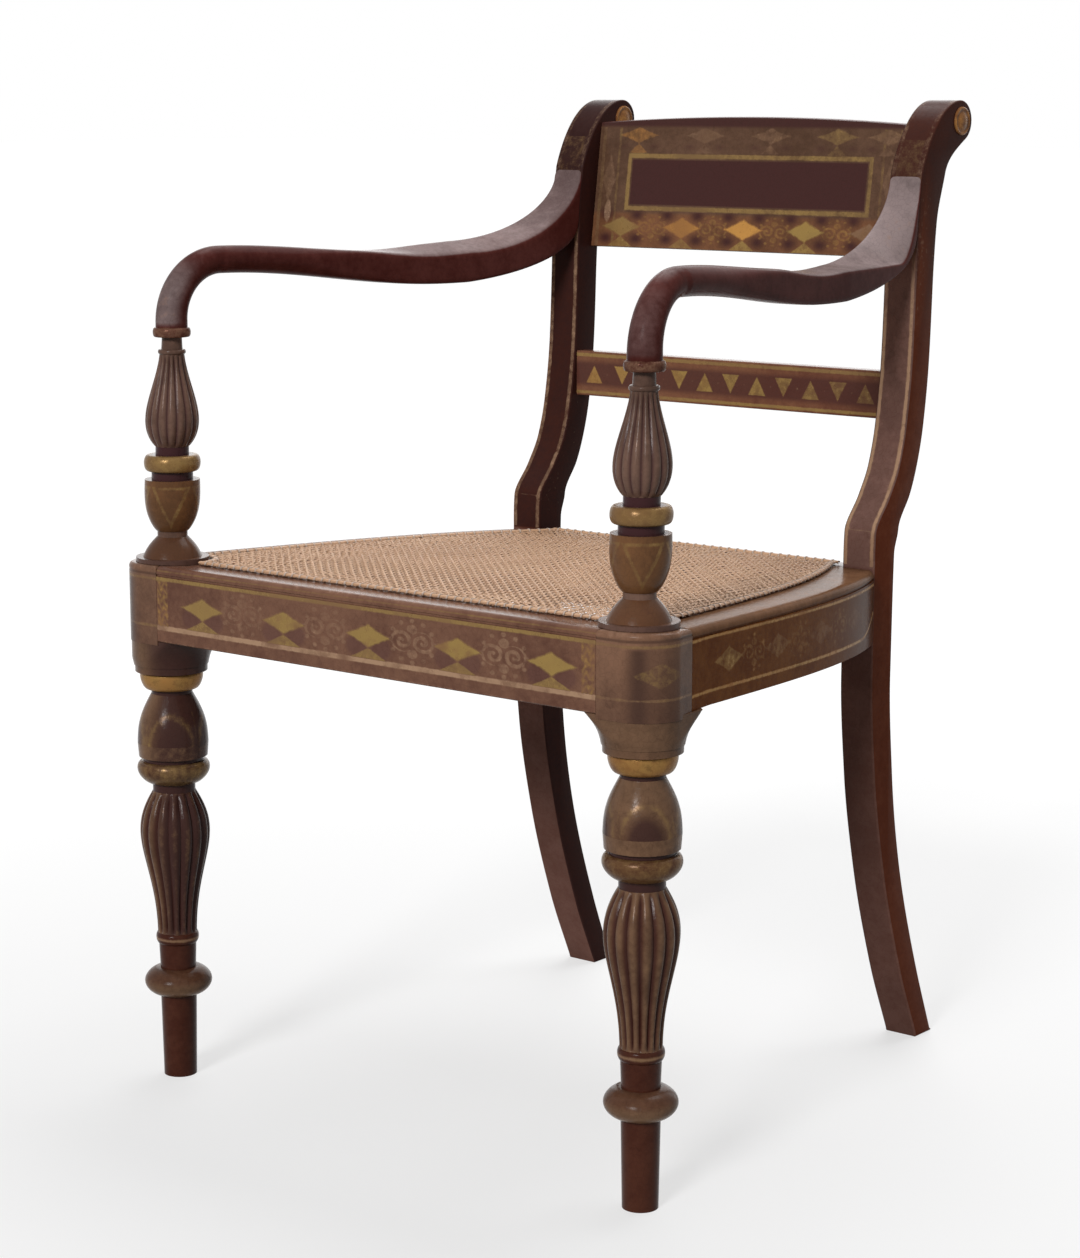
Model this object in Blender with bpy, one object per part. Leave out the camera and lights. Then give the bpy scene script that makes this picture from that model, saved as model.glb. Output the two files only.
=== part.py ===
"""Caned and japanned elbow chair, in metres, +Z up, facing -Y.

Turned and reeded front legs carry turned arm supports. Sabre back legs run up
into posts that roll over backwards. Lengths along Y are measured from the axis
of the front legs, and the chair is then set with its box centred over the origin.
"""

import math

import bmesh
import bpy
import numpy as np

for thing in list(bpy.data.objects):
    bpy.data.objects.remove(thing, do_unlink=True)

# Clearance left between two pieces that touch
FIT = 0.0003

# Seat frame: height at the front, fall to the back, and plan
SEAT_HEIGHT = 0.4585
SEAT_FALL = 0.0145
SEAT_DEPTH = 0.402
LEG_SPREAD = 0.507
SUPPORT_INSET = 0.0045
SUPPORT_LEAN = 0.005
POST_SPREAD = 0.3715
RAIL_DEPTH = 0.0645
FRONT_RAIL_WIDTH = 0.048
SIDE_RAIL_WIDTH = 0.045
BACK_RAIL_WIDTH = 0.028
NOSING = 0.006
QUIRK = 0.0012
SIDE_TURN_IN = 0.38
SIDE_RAIL_STEPS = 9

# Corner block at the top of a front leg, from the leg's axis to each face
BLOCK_OUT = 0.034
BLOCK_IN = 0.019
BLOCK_BACK = 0.0185
BLOCK_LAP = 0.0035
FLARE_INSET = 0.0006

# Tenons of the four rails
RAIL_TENON = 0.016
RAIL_TENON_THICK = 0.012
RAIL_TENON_TALL = 0.022
RAIL_TENON_RISE = 0.009
RAIL_TENON_INSET = 0.0115
BACK_TENON = 0.008
BACK_SHOULDER = 0.006

# Turnings
SEGMENTS = 24
REED_DEPTH = 0.0018
FOOT_RADIUS = 0.0143
ANKLE_RADIUS = 0.0156
FLARE_RADIUS = 0.0450

# Mouldings of the front leg above its foot, from the bottom up:
# name, height, lower radius, upper radius, swell, where it peaks, sharpness, steps
LEG_TURNING = (
    ("ankle ring", 0.024, 0.0158, 0.0156, 0.0136, 0.5, 0.5, 5),
    ("ankle neck", 0.022, 0.0154, 0.0162, 0.0, 0.5, 1.0, 1),
    ("lower fillet", 0.010, 0.0162, 0.0169, 0.0020, 0.5, 0.5, 2),
    ("reeded vase", 0.127, 0.0169, 0.0185, 0.0120, 0.71, 1.0, 8),
    ("vase neck", 0.007, 0.0183, 0.0183, 0.0, 0.5, 1.0, 1),
    ("waist ring", 0.020, 0.0190, 0.0262, 0.0080, 0.5, 0.5, 4),
    ("waist quirk", 0.004, 0.0256, 0.0256, 0.0, 0.5, 1.0, 1),
    ("cup shoulder", 0.012, 0.0296, 0.0305, 0.0, 0.5, 1.0, 1),
    ("cup", 0.043, 0.0305, 0.0178, 0.0035, 0.5, 1.0, 4),
    ("cup neck", 0.004, 0.0176, 0.0176, 0.0, 0.5, 1.0, 1),
    ("gilt collar", 0.016, 0.0200, 0.0240, 0.0045, 0.5, 0.5, 3),
    ("flange", 0.006, 0.0310, 0.0312, 0.0, 0.5, 1.0, 1),
    ("bracket flare", 0.0250, 0.0320, FLARE_RADIUS, -0.0025, 0.5, 1.0, 3),
)

# Mouldings of an arm support above its base disc, in the same columns, their heights
# stretched together to the support's share of the back's rise
BASE_DISC_RADIUS = 0.031
BASE_DISC_HEIGHT = 0.0035
SUPPORT_SHARE = 0.4812
SUPPORT_TURNING = (
    ("bell", 0.017, 0.0250, 0.0132, 0.0022, 0.5, 1.0, 3),
    ("bell neck", 0.005, 0.0128, 0.0128, 0.0, 0.5, 1.0, 1),
    ("cup", 0.044, 0.0135, 0.0234, 0.0047, 0.40, 1.0, 5),
    ("cup quirk", 0.007, 0.0176, 0.0176, 0.0, 0.5, 1.0, 1),
    ("waist ring", 0.014, 0.0190, 0.0190, 0.0050, 0.5, 0.5, 4),
    ("ring neck", 0.007, 0.0142, 0.0142, 0.0, 0.5, 1.0, 1),
    ("reeded vase", 0.078, 0.0145, 0.0105, 0.0094, 0.31, 1.5, 8),
    ("top bead", 0.004, 0.0106, 0.0106, 0.0012, 0.5, 0.5, 2),
    ("top neck", 0.010, 0.0090, 0.0085, 0.0, 0.5, 1.0, 1),
)
LOWER_DOWEL_RADIUS = 0.009
LOWER_DOWEL_LENGTH = 0.026
UPPER_DOWEL_RADIUS = 0.005
UPPER_DOWEL_LENGTH = 0.024

# Back posts: width across, then the front edge's set-back and the depth at heights from
# the floor, from the seat and, above it, at shares of the back's rise over the seat
POST_WIDTH = 0.0325
BACK_HEIGHT = 0.845
SABRE_LEG = ((0.000, 0.0885, 0.0255), (0.070, 0.0575, 0.0280), (0.167, 0.0260, 0.0280))
POST_UNDER_SEAT = ((-0.2000, 0.0075, 0.0303), (-0.1125, 0.0000, 0.0315), (-0.0035, 0.0000, 0.0335))
POST_OVER_SEAT = (
    (0.0453, 0.0010, 0.0385),
    (0.1203, 0.0220, 0.0355),
    (0.1850, 0.0370, 0.0310),
    (0.2756, 0.0470, 0.0300),
    (0.4179, 0.0545, 0.0295),
    (0.5731, 0.0575, 0.0295),
    (0.7283, 0.0595, 0.0320),
    (0.8396, 0.0645, 0.0395),
)
SCROLL_RADIUS = 0.018
SCROLL_REACH = 0.128
SCROLL_END_DEG = -60.0
SCROLL_STEPS = 8
THROAT_STEPS = 5

# How the scroll's curves leave the post and meet the roll, as shares of the rise above
# the post's last row and of the roll's radius
SCROLL_LIFT = (0.15, 0.43)
SCROLL_CROWN = 1.8
SCROLL_CURL = 0.8
SCROLL_THROAT = (0.07, 0.21)

# Boss in each end of a scroll: height and radius as shares of the dome and the radius
ROUNDEL_RADIUS = 0.0125
ROUNDEL_SEAT = 0.002
ROUNDEL_DOME = 0.003
ROUNDEL_PROFILE = ((0.0, 1.0), (0.5, 0.85), (0.9, 0.5), (1.0, 0.2))
ROUNDEL_SEGMENTS = 16

# Crest tablet between the posts: its share of the back's rise, its drop under the scrolls,
# its lean, its hollow in plan and its arched top
CREST_SHARE = 0.3014
CREST_DROP = 0.0205
CREST_THICK = 0.014
CREST_SETBACK = 0.0775
CREST_LEAN = 0.14
CREST_HOLLOW = 0.005
CREST_ARCH = 0.0055
CREST_TENON = 0.009
CREST_SHOULDER = 0.012
CREST_STEPS = 10

# Tie rail across the back: its lower edge at a share of the back's rise
TIE_SHARE = 0.2859
TIE_TALL = 0.042
TIE_THICK = 0.016
TIE_SETBACK = 0.002
TIE_TENON = 0.010
TIE_SHOULDER = 0.003
EDGE_ROUND = 0.0015

# Arms: the turned-down front end, the run, and the sweep up the post, which stops just
# under the scroll and whose underside rises by a share of it
ARM_RADIUS = 0.0135
ARM_RING_RADIUS = 0.016
ARM_RING_TALL = 0.008
ARM_RING_PROFILE = ((0.0, 0.9), (0.25, 1.0), (0.75, 1.0))
ARM_RISE = 0.005
ARM_BEND = 0.050
ARM_DIP = 0.0145
ARM_DIP_LENGTH = 0.220
ARM_WAIST = 0.080
ARM_WAIST_HALF_HEIGHT = 0.0118
ARM_WAIST_HALF_WIDTH = 0.0128
ARM_REAR_HALF_HEIGHT = 0.0183
ARM_REAR_HALF_WIDTH = 0.01625
ARM_SWEEP = 0.135
ARM_TIP_CLEAR = 0.003
ARM_UNDER_SWEEP = 0.190
ARM_UNDER_SHARE = 0.73
ARM_SQUARE_POWER = 5.0

# Upper edges of each arm, inner then outer: the length of its sweep up the post, and how
# far it lies over or under the arm's own level before that, settled along the run
ARM_EDGES = {
    "left": ((0.130, -0.0065), (0.140, 0.0035)),
    "right": ((0.155, -0.0050), (0.030, -0.0080)),
}
ARM_SETTLE_FROM = 0.200
ARM_SETTLE_LENGTH = 0.100
ARM_AROUND = 16
ARM_RUN_STEPS = 9
ARM_BEND_STEPS = 5
ARM_SWEEP_STEPS = 8

# Screw through each post into the arm, and the plug that hides it
SCREW_RADIUS = 0.0025
SCREW_HEAD_RADIUS = 0.005
SCREW_HEAD_TALL = 0.003
SCREW_BITE = 0.022
SCREW_EDGE = 0.0015
PLUG_RADIUS = 0.0062
PLUG_LENGTH = 0.007

# Cane: a flat net over the rails' inner lips, under a binder along each side
CANE_INSET = 0.030
CANE_BACK_CLEAR = 0.010
CANE_CORNER_CLEAR = 0.004
CANE_BACK_LAP = 0.012
CANE_THICK = 0.0016
CANE_COLUMNS = 15
CANE_ROWS = 14
CANE_STRAND = 0.005
BINDER_WIDTH = 0.005
BINDER_THICK = 0.0016
BINDER_SECTION = ((-0.5, 0.0), (0.5, 0.0), (0.32, 0.75), (0.0, 1.0), (-0.32, 0.75))
BINDER_STEPS = 8

JAPAN_BROWN = (0.052, 0.020, 0.018)
CREST_MAROON = (0.065, 0.025, 0.024)
GILT = (0.42, 0.25, 0.08)
CANE_TAN = (0.45, 0.30, 0.17)
IRON = (0.25, 0.24, 0.23)

# Values that follow from the sizes above
LEG_X = LEG_SPREAD / 2
SUPPORT_X = LEG_X - SUPPORT_INSET
POST_X = POST_SPREAD / 2
POST_INNER = POST_X - POST_WIDTH / 2
POST_OUTER = POST_X + POST_WIDTH / 2
RAIL_FRONT = -BLOCK_OUT
RAIL_BOTTOM = SEAT_HEIGHT - RAIL_DEPTH
BACK_RISE = BACK_HEIGHT - SEAT_HEIGHT
SUPPORT_STRETCH = SUPPORT_SHARE * BACK_RISE / sum(row[1] for row in SUPPORT_TURNING)
SUPPORT_TOP = SEAT_HEIGHT + FIT + BASE_DISC_HEIGHT + SUPPORT_SHARE * BACK_RISE
ARM_FOOT = SUPPORT_TOP + FIT
ARM_BEND_FOOT = ARM_FOOT + ARM_RING_TALL + ARM_RISE
ARM_HEIGHT = ARM_BEND_FOOT + ARM_BEND
ARM_LOW = ARM_HEIGHT - ARM_DIP - ARM_REAR_HALF_HEIGHT
ARM_HIGH = ARM_HEIGHT - ARM_DIP + ARM_REAR_HALF_HEIGHT
ARM_SWEEP_TALL = SEAT_HEIGHT + POST_OVER_SEAT[-1][0] * BACK_RISE - ARM_TIP_CLEAR - ARM_HIGH
ARM_UNDER_TALL = ARM_UNDER_SHARE * ARM_SWEEP_TALL
ARM_CONTACT = ARM_LOW + ARM_UNDER_TALL
SCROLL_Y = SEAT_DEPTH + SCROLL_REACH
SCROLL_Z = BACK_HEIGHT - SCROLL_RADIUS
CREST_TOP = BACK_HEIGHT - CREST_DROP
CREST_BOTTOM = CREST_TOP - CREST_SHARE * BACK_RISE
TIE_BOTTOM = SEAT_HEIGHT + TIE_SHARE * BACK_RISE
CANE_FRONT = RAIL_FRONT + CANE_INSET
CANE_LENGTH = SEAT_DEPTH + CANE_BACK_LAP - CANE_FRONT
BOX_MIDDLE = (RAIL_FRONT + SCROLL_Y + SCROLL_RADIUS) / 2

chair = bpy.data.objects.new("chair", None)
chair.location = (0, -BOX_MIDDLE, 0)
bpy.context.scene.collection.objects.link(chair)


def finish(name, colour, roughness, metallic):
    """A Principled material of its own for one piece."""
    material = bpy.data.materials.new(name + "_finish")
    material.use_nodes = True
    shader = material.node_tree.nodes["Principled BSDF"]
    shader.inputs["Base Color"].default_value = (*colour, 1)
    shader.inputs["Roughness"].default_value = roughness
    shader.inputs["Metallic"].default_value = metallic
    return material


def solid(name, points, faces, colour=JAPAN_BROWN, roughness=0.4, metallic=0.0):
    """A named piece under the chair's empty, with its faces turned outwards."""
    mesh = bpy.data.meshes.new(name)
    mesh.from_pydata([tuple(map(float, p)) for p in points], [], faces)
    shape = bmesh.new()
    shape.from_mesh(mesh)
    bmesh.ops.remove_doubles(shape, verts=shape.verts, dist=1e-6)
    bmesh.ops.recalc_face_normals(shape, faces=shape.faces)
    shape.to_mesh(mesh)
    shape.free()
    mesh.shade_smooth()
    mesh.set_sharp_from_angle(angle=math.radians(35))
    mesh.materials.append(finish(name, colour, roughness, metallic))
    piece = bpy.data.objects.new(name, mesh)
    piece.parent = chair
    bpy.context.scene.collection.objects.link(piece)
    return piece


def loft(name, rings, level_end=False, **look):
    """A closed solid through rings of equal point counts, capped at both ends.

    With level_end the last cap is made of level strips, so that it can follow a curved face.
    """
    count = len(rings[0])
    points = [p for ring in rings for p in ring]
    last = len(points) - count
    faces = [tuple(range(count))]
    if level_end:
        for i in range(-count // 4, count // 4):
            strip = (i, i + 1, count // 2 - i - 1, count // 2 - i)
            faces.append(tuple(dict.fromkeys(last + k % count for k in strip)))
    else:
        faces.append(tuple(range(last, len(points))))
    for start in range(0, last, count):
        for i in range(count):
            j = (i + 1) % count
            faces.append((start + i, start + j, start + count + j, start + count + i))
    return solid(name, points, faces, **look)


def box(name, low, high):
    """An axis-aligned helper block between two corners."""
    (x0, y0, z0), (x1, y1, z1) = low, high
    lower = [(x0, y0, z0), (x1, y0, z0), (x1, y1, z0), (x0, y1, z0)]
    upper = [(x, y, z1) for x, y, _ in lower]
    return loft(name, [lower, upper])


def helper(piece):
    """Hides a shape that only cuts or joins."""
    piece.hide_render = True
    piece.display_type = "WIRE"
    return piece


def combine(piece, tool, operation):
    modifier = piece.modifiers.new(tool.name, "BOOLEAN")
    modifier.operation = operation
    modifier.solver = "EXACT"
    modifier.object = helper(tool)


def tenon(owner, receiver, low, high, label):
    """Joins a tenon block to its owner and cuts its mortise, with clearance, in the receiver."""
    low, high = np.array(low), np.array(high)
    combine(owner, box(label + "_tenon", low, high), "UNION")
    combine(receiver, box(label + "_mortise", low - FIT, high + FIT), "DIFFERENCE")


def rod(name, centre, axis, along, radii, around=12, **look):
    """A turned piece along X, Y or Z: a radius at each distance along its axis from its centre."""
    turn = np.arange(around) * 2 * math.pi / around
    first, second = [k for k in range(3) if k != axis]
    rings = []
    for distance, radius in zip(along, radii):
        ring = np.tile(np.array(centre, float), (around, 1))
        ring[:, axis] += distance
        ring[:, first] += radius * np.cos(turn)
        ring[:, second] += radius * np.sin(turn)
        rings.append(ring)
    return loft(name, rings, **look)


def curve_through(rows, column, at):
    """Smooth cubic through a column of rows keyed by their first value, with no overshoot."""
    keys = np.array([row[0] for row in rows])
    values = np.array([row[column] for row in rows])
    grades = np.diff(values) / np.diff(keys)
    before, after = grades[:-1], grades[1:]
    same_way = before * after > 0
    total = np.where(same_way, before + after, 1.0)
    inner = np.where(same_way, 2 * before * after / total, 0.0)
    slopes = np.concatenate([grades[:1], inner, grades[-1:]])
    k = np.clip(np.searchsorted(keys, at, side="right") - 1, 0, len(keys) - 2)
    width = keys[k + 1] - keys[k]
    t = (at - keys[k]) / width
    rise = values[k + 1] - values[k]
    start, end = slopes[k] * width, slopes[k + 1] * width
    return values[k] + t * (start + t * (3 * rise - 2 * start - end + t * (start + end - 2 * rise)))


def bezier(p0, p1, p2, p3, steps):
    """Points of a cubic curve after its first one."""
    t = np.linspace(0, 1, steps + 1)[1:, None]
    p0, p1, p2, p3 = map(np.array, (p0, p1, p2, p3))
    return p0 * (1 - t) ** 3 + 3 * p1 * t * (1 - t) ** 2 + 3 * p2 * t**2 * (1 - t) + p3 * t**3


def seat_z(y):
    """Height of the seat's top plane, which falls from the front rail to the posts."""
    return SEAT_HEIGHT - SEAT_FALL * (y - RAIL_FRONT) / (SEAT_DEPTH - RAIL_FRONT)


def side_bottom(y):
    """Lower edge of a side rail: level over the leg's bracket flare, then falling with the seat."""
    flare = FLARE_RADIUS + FIT
    return RAIL_BOTTOM - SEAT_FALL * max(0.0, y - flare) / (SEAT_DEPTH - flare)


def turn_in(y):
    """0 at the front leg's axis to 1 at the posts: nearly straight, then quicker at the rear."""
    s = y / SEAT_DEPTH
    return (1 - SIDE_TURN_IN) * s + SIDE_TURN_IN * s**4


def seat_side(y):
    """Half-width of the seat frame over its side rails."""
    front = LEG_X + BLOCK_OUT
    return front - (front - POST_OUTER) * turn_in(y)


POST_ROWS = (
    SABRE_LEG
    + tuple((SEAT_HEIGHT + z, setback, depth) for z, setback, depth in POST_UNDER_SEAT)
    + tuple((SEAT_HEIGHT + share * BACK_RISE, setback, depth) for share, setback, depth in POST_OVER_SEAT)
)


def post_front(z):
    return SEAT_DEPTH + curve_through(POST_ROWS, 1, z)


def post_rear(z):
    return post_front(z) + curve_through(POST_ROWS, 2, z)


POST_LEVELS = np.concatenate(
    [np.linspace(a[0], b[0], 3)[:-1] for a, b in zip(POST_ROWS, POST_ROWS[1:])] + [[POST_ROWS[-1][0]]]
)


def post_face(z):
    """The front edge as the post's flat facets run between its levels."""
    return np.interp(z, POST_LEVELS, post_front(POST_LEVELS))


def moulding_points(rows, base, stretch=1.0):
    """(height, radius, reeded) of a turning: swell * sin(pi t**k)**sharpness on a straight taper."""
    points = []
    for name, drawn_height, low, high, swell, peak, sharpness, steps in rows:
        height = drawn_height * stretch
        power = math.log(0.5) / math.log(peak)
        for i in range(steps + 1):
            t = i / steps
            bulge = swell * max(0.0, math.sin(math.pi * t**power)) ** sharpness
            reeded = name.startswith("reeded") and 0 < i < steps
            points.append((base + height * t, low + (high - low) * t + bulge, reeded))
        base += height
    return points


def turned_rings(points, x, trim=None):
    """Level rings about an upright axis at x, alternate points cut in where the turning is reeded."""
    turn = np.arange(SEGMENTS) * 2 * math.pi / SEGMENTS
    groove = np.arange(SEGMENTS) % 2
    rings = []
    for z, radius, reeded in points:
        r = radius - REED_DEPTH * groove * reeded
        if trim is not None:
            r = np.minimum(r, trim)
        ring = np.stack([x + r * np.cos(turn), r * np.sin(turn), np.full(SEGMENTS, z)], axis=1)
        rings.append(ring)
    return rings


def flush_trim(side):
    """Reach of the bracket flare from the leg's axis: just inside the frame's outer faces."""
    face = BLOCK_OUT - FLARE_INSET
    turn = np.arange(SEGMENTS) * 2 * math.pi / SEGMENTS
    outward = side * np.cos(turn)
    forward = -np.sin(turn)
    reach = np.full(SEGMENTS, 1.0)
    near_front = (forward > 0) & (outward <= 0)
    near_side = (outward > 0) & (forward <= 0)
    reach[near_front] = face / forward[near_front]
    reach[near_side] = face / outward[near_side]
    reach[(forward > 0) & (outward > 0)] = face
    return reach


def block_outline(side):
    """Plan of the corner block: its outer corner is a quarter round about the leg's axis."""
    corner = np.radians(np.linspace(-90, 0, 7))
    arc = [(BLOCK_OUT * math.cos(a), BLOCK_OUT * math.sin(a)) for a in corner]
    back_outer = seat_side(BLOCK_BACK) - LEG_X
    plan = [(-BLOCK_IN, RAIL_FRONT), *arc, (back_outer, BLOCK_BACK), (-BLOCK_IN, BLOCK_BACK)]
    return [(side * (LEG_X + x), y) for x, y in plan]


def front_leg(name, side):
    foot = RAIL_BOTTOM - FIT - sum(row[1] for row in LEG_TURNING)
    rows = (("foot", foot, FOOT_RADIUS, ANKLE_RADIUS, 0.0, 0.5, 1.0, 1), *LEG_TURNING)
    leg = loft(name, turned_rings(moulding_points(rows, 0.0), side * LEG_X, flush_trim(side)))
    plan = block_outline(side)
    under = RAIL_BOTTOM - BLOCK_LAP
    block = loft(
        name + "_block",
        [[(x, y, under) for x, y in plan], [(x, y, seat_z(y)) for x, y in plan]],
    )
    combine(leg, block, "UNION")
    mouth = (side * SUPPORT_X, 0, seat_z(0))
    reach = (-LOWER_DOWEL_LENGTH - FIT, LOWER_DOWEL_RADIUS)
    bore = rod(name + "_bore", mouth, 2, reach, [LOWER_DOWEL_RADIUS + FIT] * 2, SEGMENTS)
    combine(leg, bore, "DIFFERENCE")
    return leg


def support_lean(z):
    """Set-back of a support's axis at a height: none at the seat, all of it from its top upwards."""
    return SUPPORT_LEAN * np.clip((z - SEAT_HEIGHT) / (SUPPORT_TOP - SEAT_HEIGHT), 0, 1)


def arm_support(name, side):
    """Turned support with a dowel at each end. Its base is cut to the fall of the seat."""
    foot = SEAT_HEIGHT + FIT
    disc_top = foot + BASE_DISC_HEIGHT
    disc = ((foot, BASE_DISC_RADIUS, False), (disc_top, BASE_DISC_RADIUS, False))
    turning = moulding_points(SUPPORT_TURNING, disc_top, SUPPORT_STRETCH)
    upper = (
        (SUPPORT_TOP, UPPER_DOWEL_RADIUS, False),
        (SUPPORT_TOP + UPPER_DOWEL_LENGTH, UPPER_DOWEL_RADIUS, False),
    )
    lower = (
        (seat_z(0) - LOWER_DOWEL_LENGTH, LOWER_DOWEL_RADIUS, False),
        (seat_z(0), LOWER_DOWEL_RADIUS, False),
    )
    rings = turned_rings([*lower, *disc, *turning, *upper], side * SUPPORT_X)
    for ring in rings[1:3]:
        ring[:, 2] = seat_z(ring[:, 1]) + FIT
    for ring in rings[3:]:
        ring[:, 1] += support_lean(ring[0, 2])
    return loft(name, rings)


def post_outline():
    """Side view of a back post, up its front edge, round the scroll and down its rear edge."""
    front = np.stack([post_front(POST_LEVELS), POST_LEVELS], axis=1)
    rear = np.stack([post_rear(POST_LEVELS), POST_LEVELS], axis=1)[::-1]
    top = POST_LEVELS[-1]
    end = math.radians(SCROLL_END_DEG)
    rise = BACK_HEIGHT - top
    over = bezier(
        front[-1],
        front[-1] + rise * np.array(SCROLL_LIFT),
        (SCROLL_Y - SCROLL_CROWN * SCROLL_RADIUS, BACK_HEIGHT),
        (SCROLL_Y, BACK_HEIGHT),
        SCROLL_STEPS,
    )
    angles = np.linspace(math.pi / 2, end, SCROLL_STEPS)[1:]
    roll = np.stack(
        [SCROLL_Y + SCROLL_RADIUS * np.cos(angles), SCROLL_Z + SCROLL_RADIUS * np.sin(angles)], axis=1
    )
    along = np.array([math.sin(end), -math.cos(end)])
    under = bezier(
        roll[-1],
        roll[-1] + SCROLL_CURL * SCROLL_RADIUS * along,
        rear[0] + rise * np.array(SCROLL_THROAT),
        rear[0],
        THROAT_STEPS,
    )
    return np.concatenate([front, over, roll, under, rear[1:]])


def back_post(name, side):
    outline = post_outline()
    rings = [[(side * x, y, z) for y, z in outline] for x in (POST_INNER, POST_OUTER)]
    return loft(name, rings)


def roundel(name, post, side, outward):
    """Turned boss let into one end of a post's scroll."""
    face = side * (POST_OUTER if outward else POST_INNER)
    way = side if outward else -side
    centre = (face, SCROLL_Y, SCROLL_Z)
    recess = way * np.array([-ROUNDEL_SEAT - FIT, ROUNDEL_SEAT])
    wide = [ROUNDEL_RADIUS + FIT] * 2
    combine(post, rod(name + "_recess", centre, 0, recess, wide, ROUNDEL_SEGMENTS), "DIFFERENCE")
    rise = [-ROUNDEL_SEAT] + [ROUNDEL_DOME * up for up, _ in ROUNDEL_PROFILE]
    radii = [ROUNDEL_RADIUS] + [ROUNDEL_RADIUS * out for _, out in ROUNDEL_PROFILE]
    along = way * np.array(rise)
    rod(name, centre, 0, along, radii, ROUNDEL_SEGMENTS, colour=GILT, roughness=0.35, metallic=0.6)


def front_rail(left_leg, right_leg):
    """Front rail with a quarter-round nosing over a quirk, tenoned into both legs."""
    back = RAIL_FRONT + FRONT_RAIL_WIDTH
    turn = np.radians(np.linspace(0, 90, 4))
    top = seat_z(RAIL_FRONT + NOSING)
    nosing = [(RAIL_FRONT + NOSING * (1 - math.cos(a)), top - NOSING * (1 - math.sin(a))) for a in turn]
    lip = nosing[0][1]
    profile = [
        (RAIL_FRONT, RAIL_BOTTOM),
        (RAIL_FRONT, lip - 2 * QUIRK),
        (RAIL_FRONT + QUIRK, lip - QUIRK),
        (RAIL_FRONT, lip),
        *nosing[1:],
        (back, seat_z(back)),
        (back, RAIL_BOTTOM),
    ]
    end = LEG_X - BLOCK_IN - FIT
    rail = loft("front_rail", [[(x, y, z) for y, z in profile] for x in (-end, end)])
    for leg, side, label in ((left_leg, -1, "front_rail_left"), (right_leg, 1, "front_rail_right")):
        face = RAIL_FRONT + RAIL_TENON_INSET
        floor = RAIL_BOTTOM + RAIL_TENON_RISE
        ends = (side * (end - RAIL_TENON), side * (end + RAIL_TENON))
        low = (min(ends), face, floor)
        high = (max(ends), face + RAIL_TENON_THICK, floor + RAIL_TENON_TALL)
        tenon(rail, leg, low, high, label)
    return rail


def side_rail(name, side, leg, post):
    """Side rail bowed in plan to the post's front face, falling with the seat."""
    start, stop = BLOCK_BACK + FIT, SEAT_DEPTH - FIT
    ease = NOSING * (1 - math.sqrt(0.5))
    flare = FLARE_RADIUS + FIT
    rings = []
    for y in (start, *np.linspace(flare, stop, SIDE_RAIL_STEPS)):
        outer, top, bottom = seat_side(y), seat_z(y), side_bottom(y)
        profile = (
            (outer, bottom),
            (outer, top - NOSING - 2 * QUIRK),
            (outer - QUIRK, top - NOSING - QUIRK),
            (outer, top - NOSING),
            (outer - ease, top - ease),
            (outer - NOSING, top),
            (outer - SIDE_RAIL_WIDTH, top),
            (outer - SIDE_RAIL_WIDTH, bottom),
        )
        rings.append([(side * x, y, z) for x, z in profile])
    rail = loft(name, rings)
    for receiver, y, way in ((leg, start, -1), (post, stop, 1)):
        length = RAIL_TENON if receiver is post else BLOCK_BACK
        middle = side * (POST_X if receiver is post else seat_side(y) - SIDE_RAIL_WIDTH / 2)
        floor = side_bottom(y) + RAIL_TENON_RISE
        ends = (y - way * RAIL_TENON, y + way * length)
        low = (middle - RAIL_TENON_THICK / 2, min(ends), floor)
        high = (middle + RAIL_TENON_THICK / 2, max(ends), floor + RAIL_TENON_TALL)
        tenon(rail, receiver, low, high, name + ("_post" if receiver is post else "_leg"))
    return rail


def cross_bar(name, posts, front, bottom, top, thick, tenon_long, shoulder):
    """Straight bar between the posts' inner faces, with its long edges eased."""
    e = EDGE_ROUND
    rear = front + thick
    profile = (
        (front, bottom + e),
        (front, top(front) - e),
        (front + e, top(front + e)),
        (rear - e, top(rear - e)),
        (rear, top(rear) - e),
        (rear, bottom + e),
        (rear - e, bottom),
        (front + e, bottom),
    )
    end = POST_INNER - FIT
    bar = loft(name, [[(x, y, z) for y, z in profile] for x in (-end, end)])
    for post, side in posts:
        ends = (side * (end - tenon_long), side * (end + tenon_long))
        low = (min(ends), front + shoulder, bottom + shoulder)
        high = (max(ends), rear - shoulder, top(rear) - shoulder)
        tenon(bar, post, low, high, f"{name}_{'right' if side > 0 else 'left'}")
    return bar


def crest_ring(x, half, ease):
    """Section of the crest at x: leaning, hollow in plan and arched along its top."""
    across = 1 - min(1.0, abs(x) / half) ** 2
    bottom = CREST_BOTTOM + ease
    top = CREST_TOP + CREST_ARCH * across - ease
    ring = []
    for z, back in ((bottom, 0), (top, 0), (top, 1), (bottom, 1)):
        face = SEAT_DEPTH + CREST_SETBACK + CREST_HOLLOW * across
        ring.append((x, face + CREST_LEAN * (z - CREST_BOTTOM) + CREST_THICK * back, z))
    return ring


def crest_rail(posts):
    end = POST_INNER - FIT
    rings = [crest_ring(x, POST_INNER, 0) for x in np.linspace(-end, end, CREST_STEPS + 1)]
    crest = loft("crest_rail", rings, colour=CREST_MAROON)
    for post, side in posts:
        label = "crest_" + ("right" if side > 0 else "left")
        reach = sorted((side * (end - CREST_TENON), side * (end + CREST_TENON)))
        peg = loft(label + "_tenon", [crest_ring(x, POST_INNER, CREST_SHOULDER) for x in reach])
        combine(crest, peg, "UNION")
        reach = sorted((side * (end - CREST_TENON), side * (end + CREST_TENON + FIT)))
        hole = [np.array(crest_ring(x, POST_INNER, CREST_SHOULDER - FIT)) for x in reach]
        for ring in hole:
            ring[:2, 1] -= FIT
            ring[2:, 1] += FIT
        combine(post, loft(label + "_mortise", hole), "DIFFERENCE")
    return crest


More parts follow.
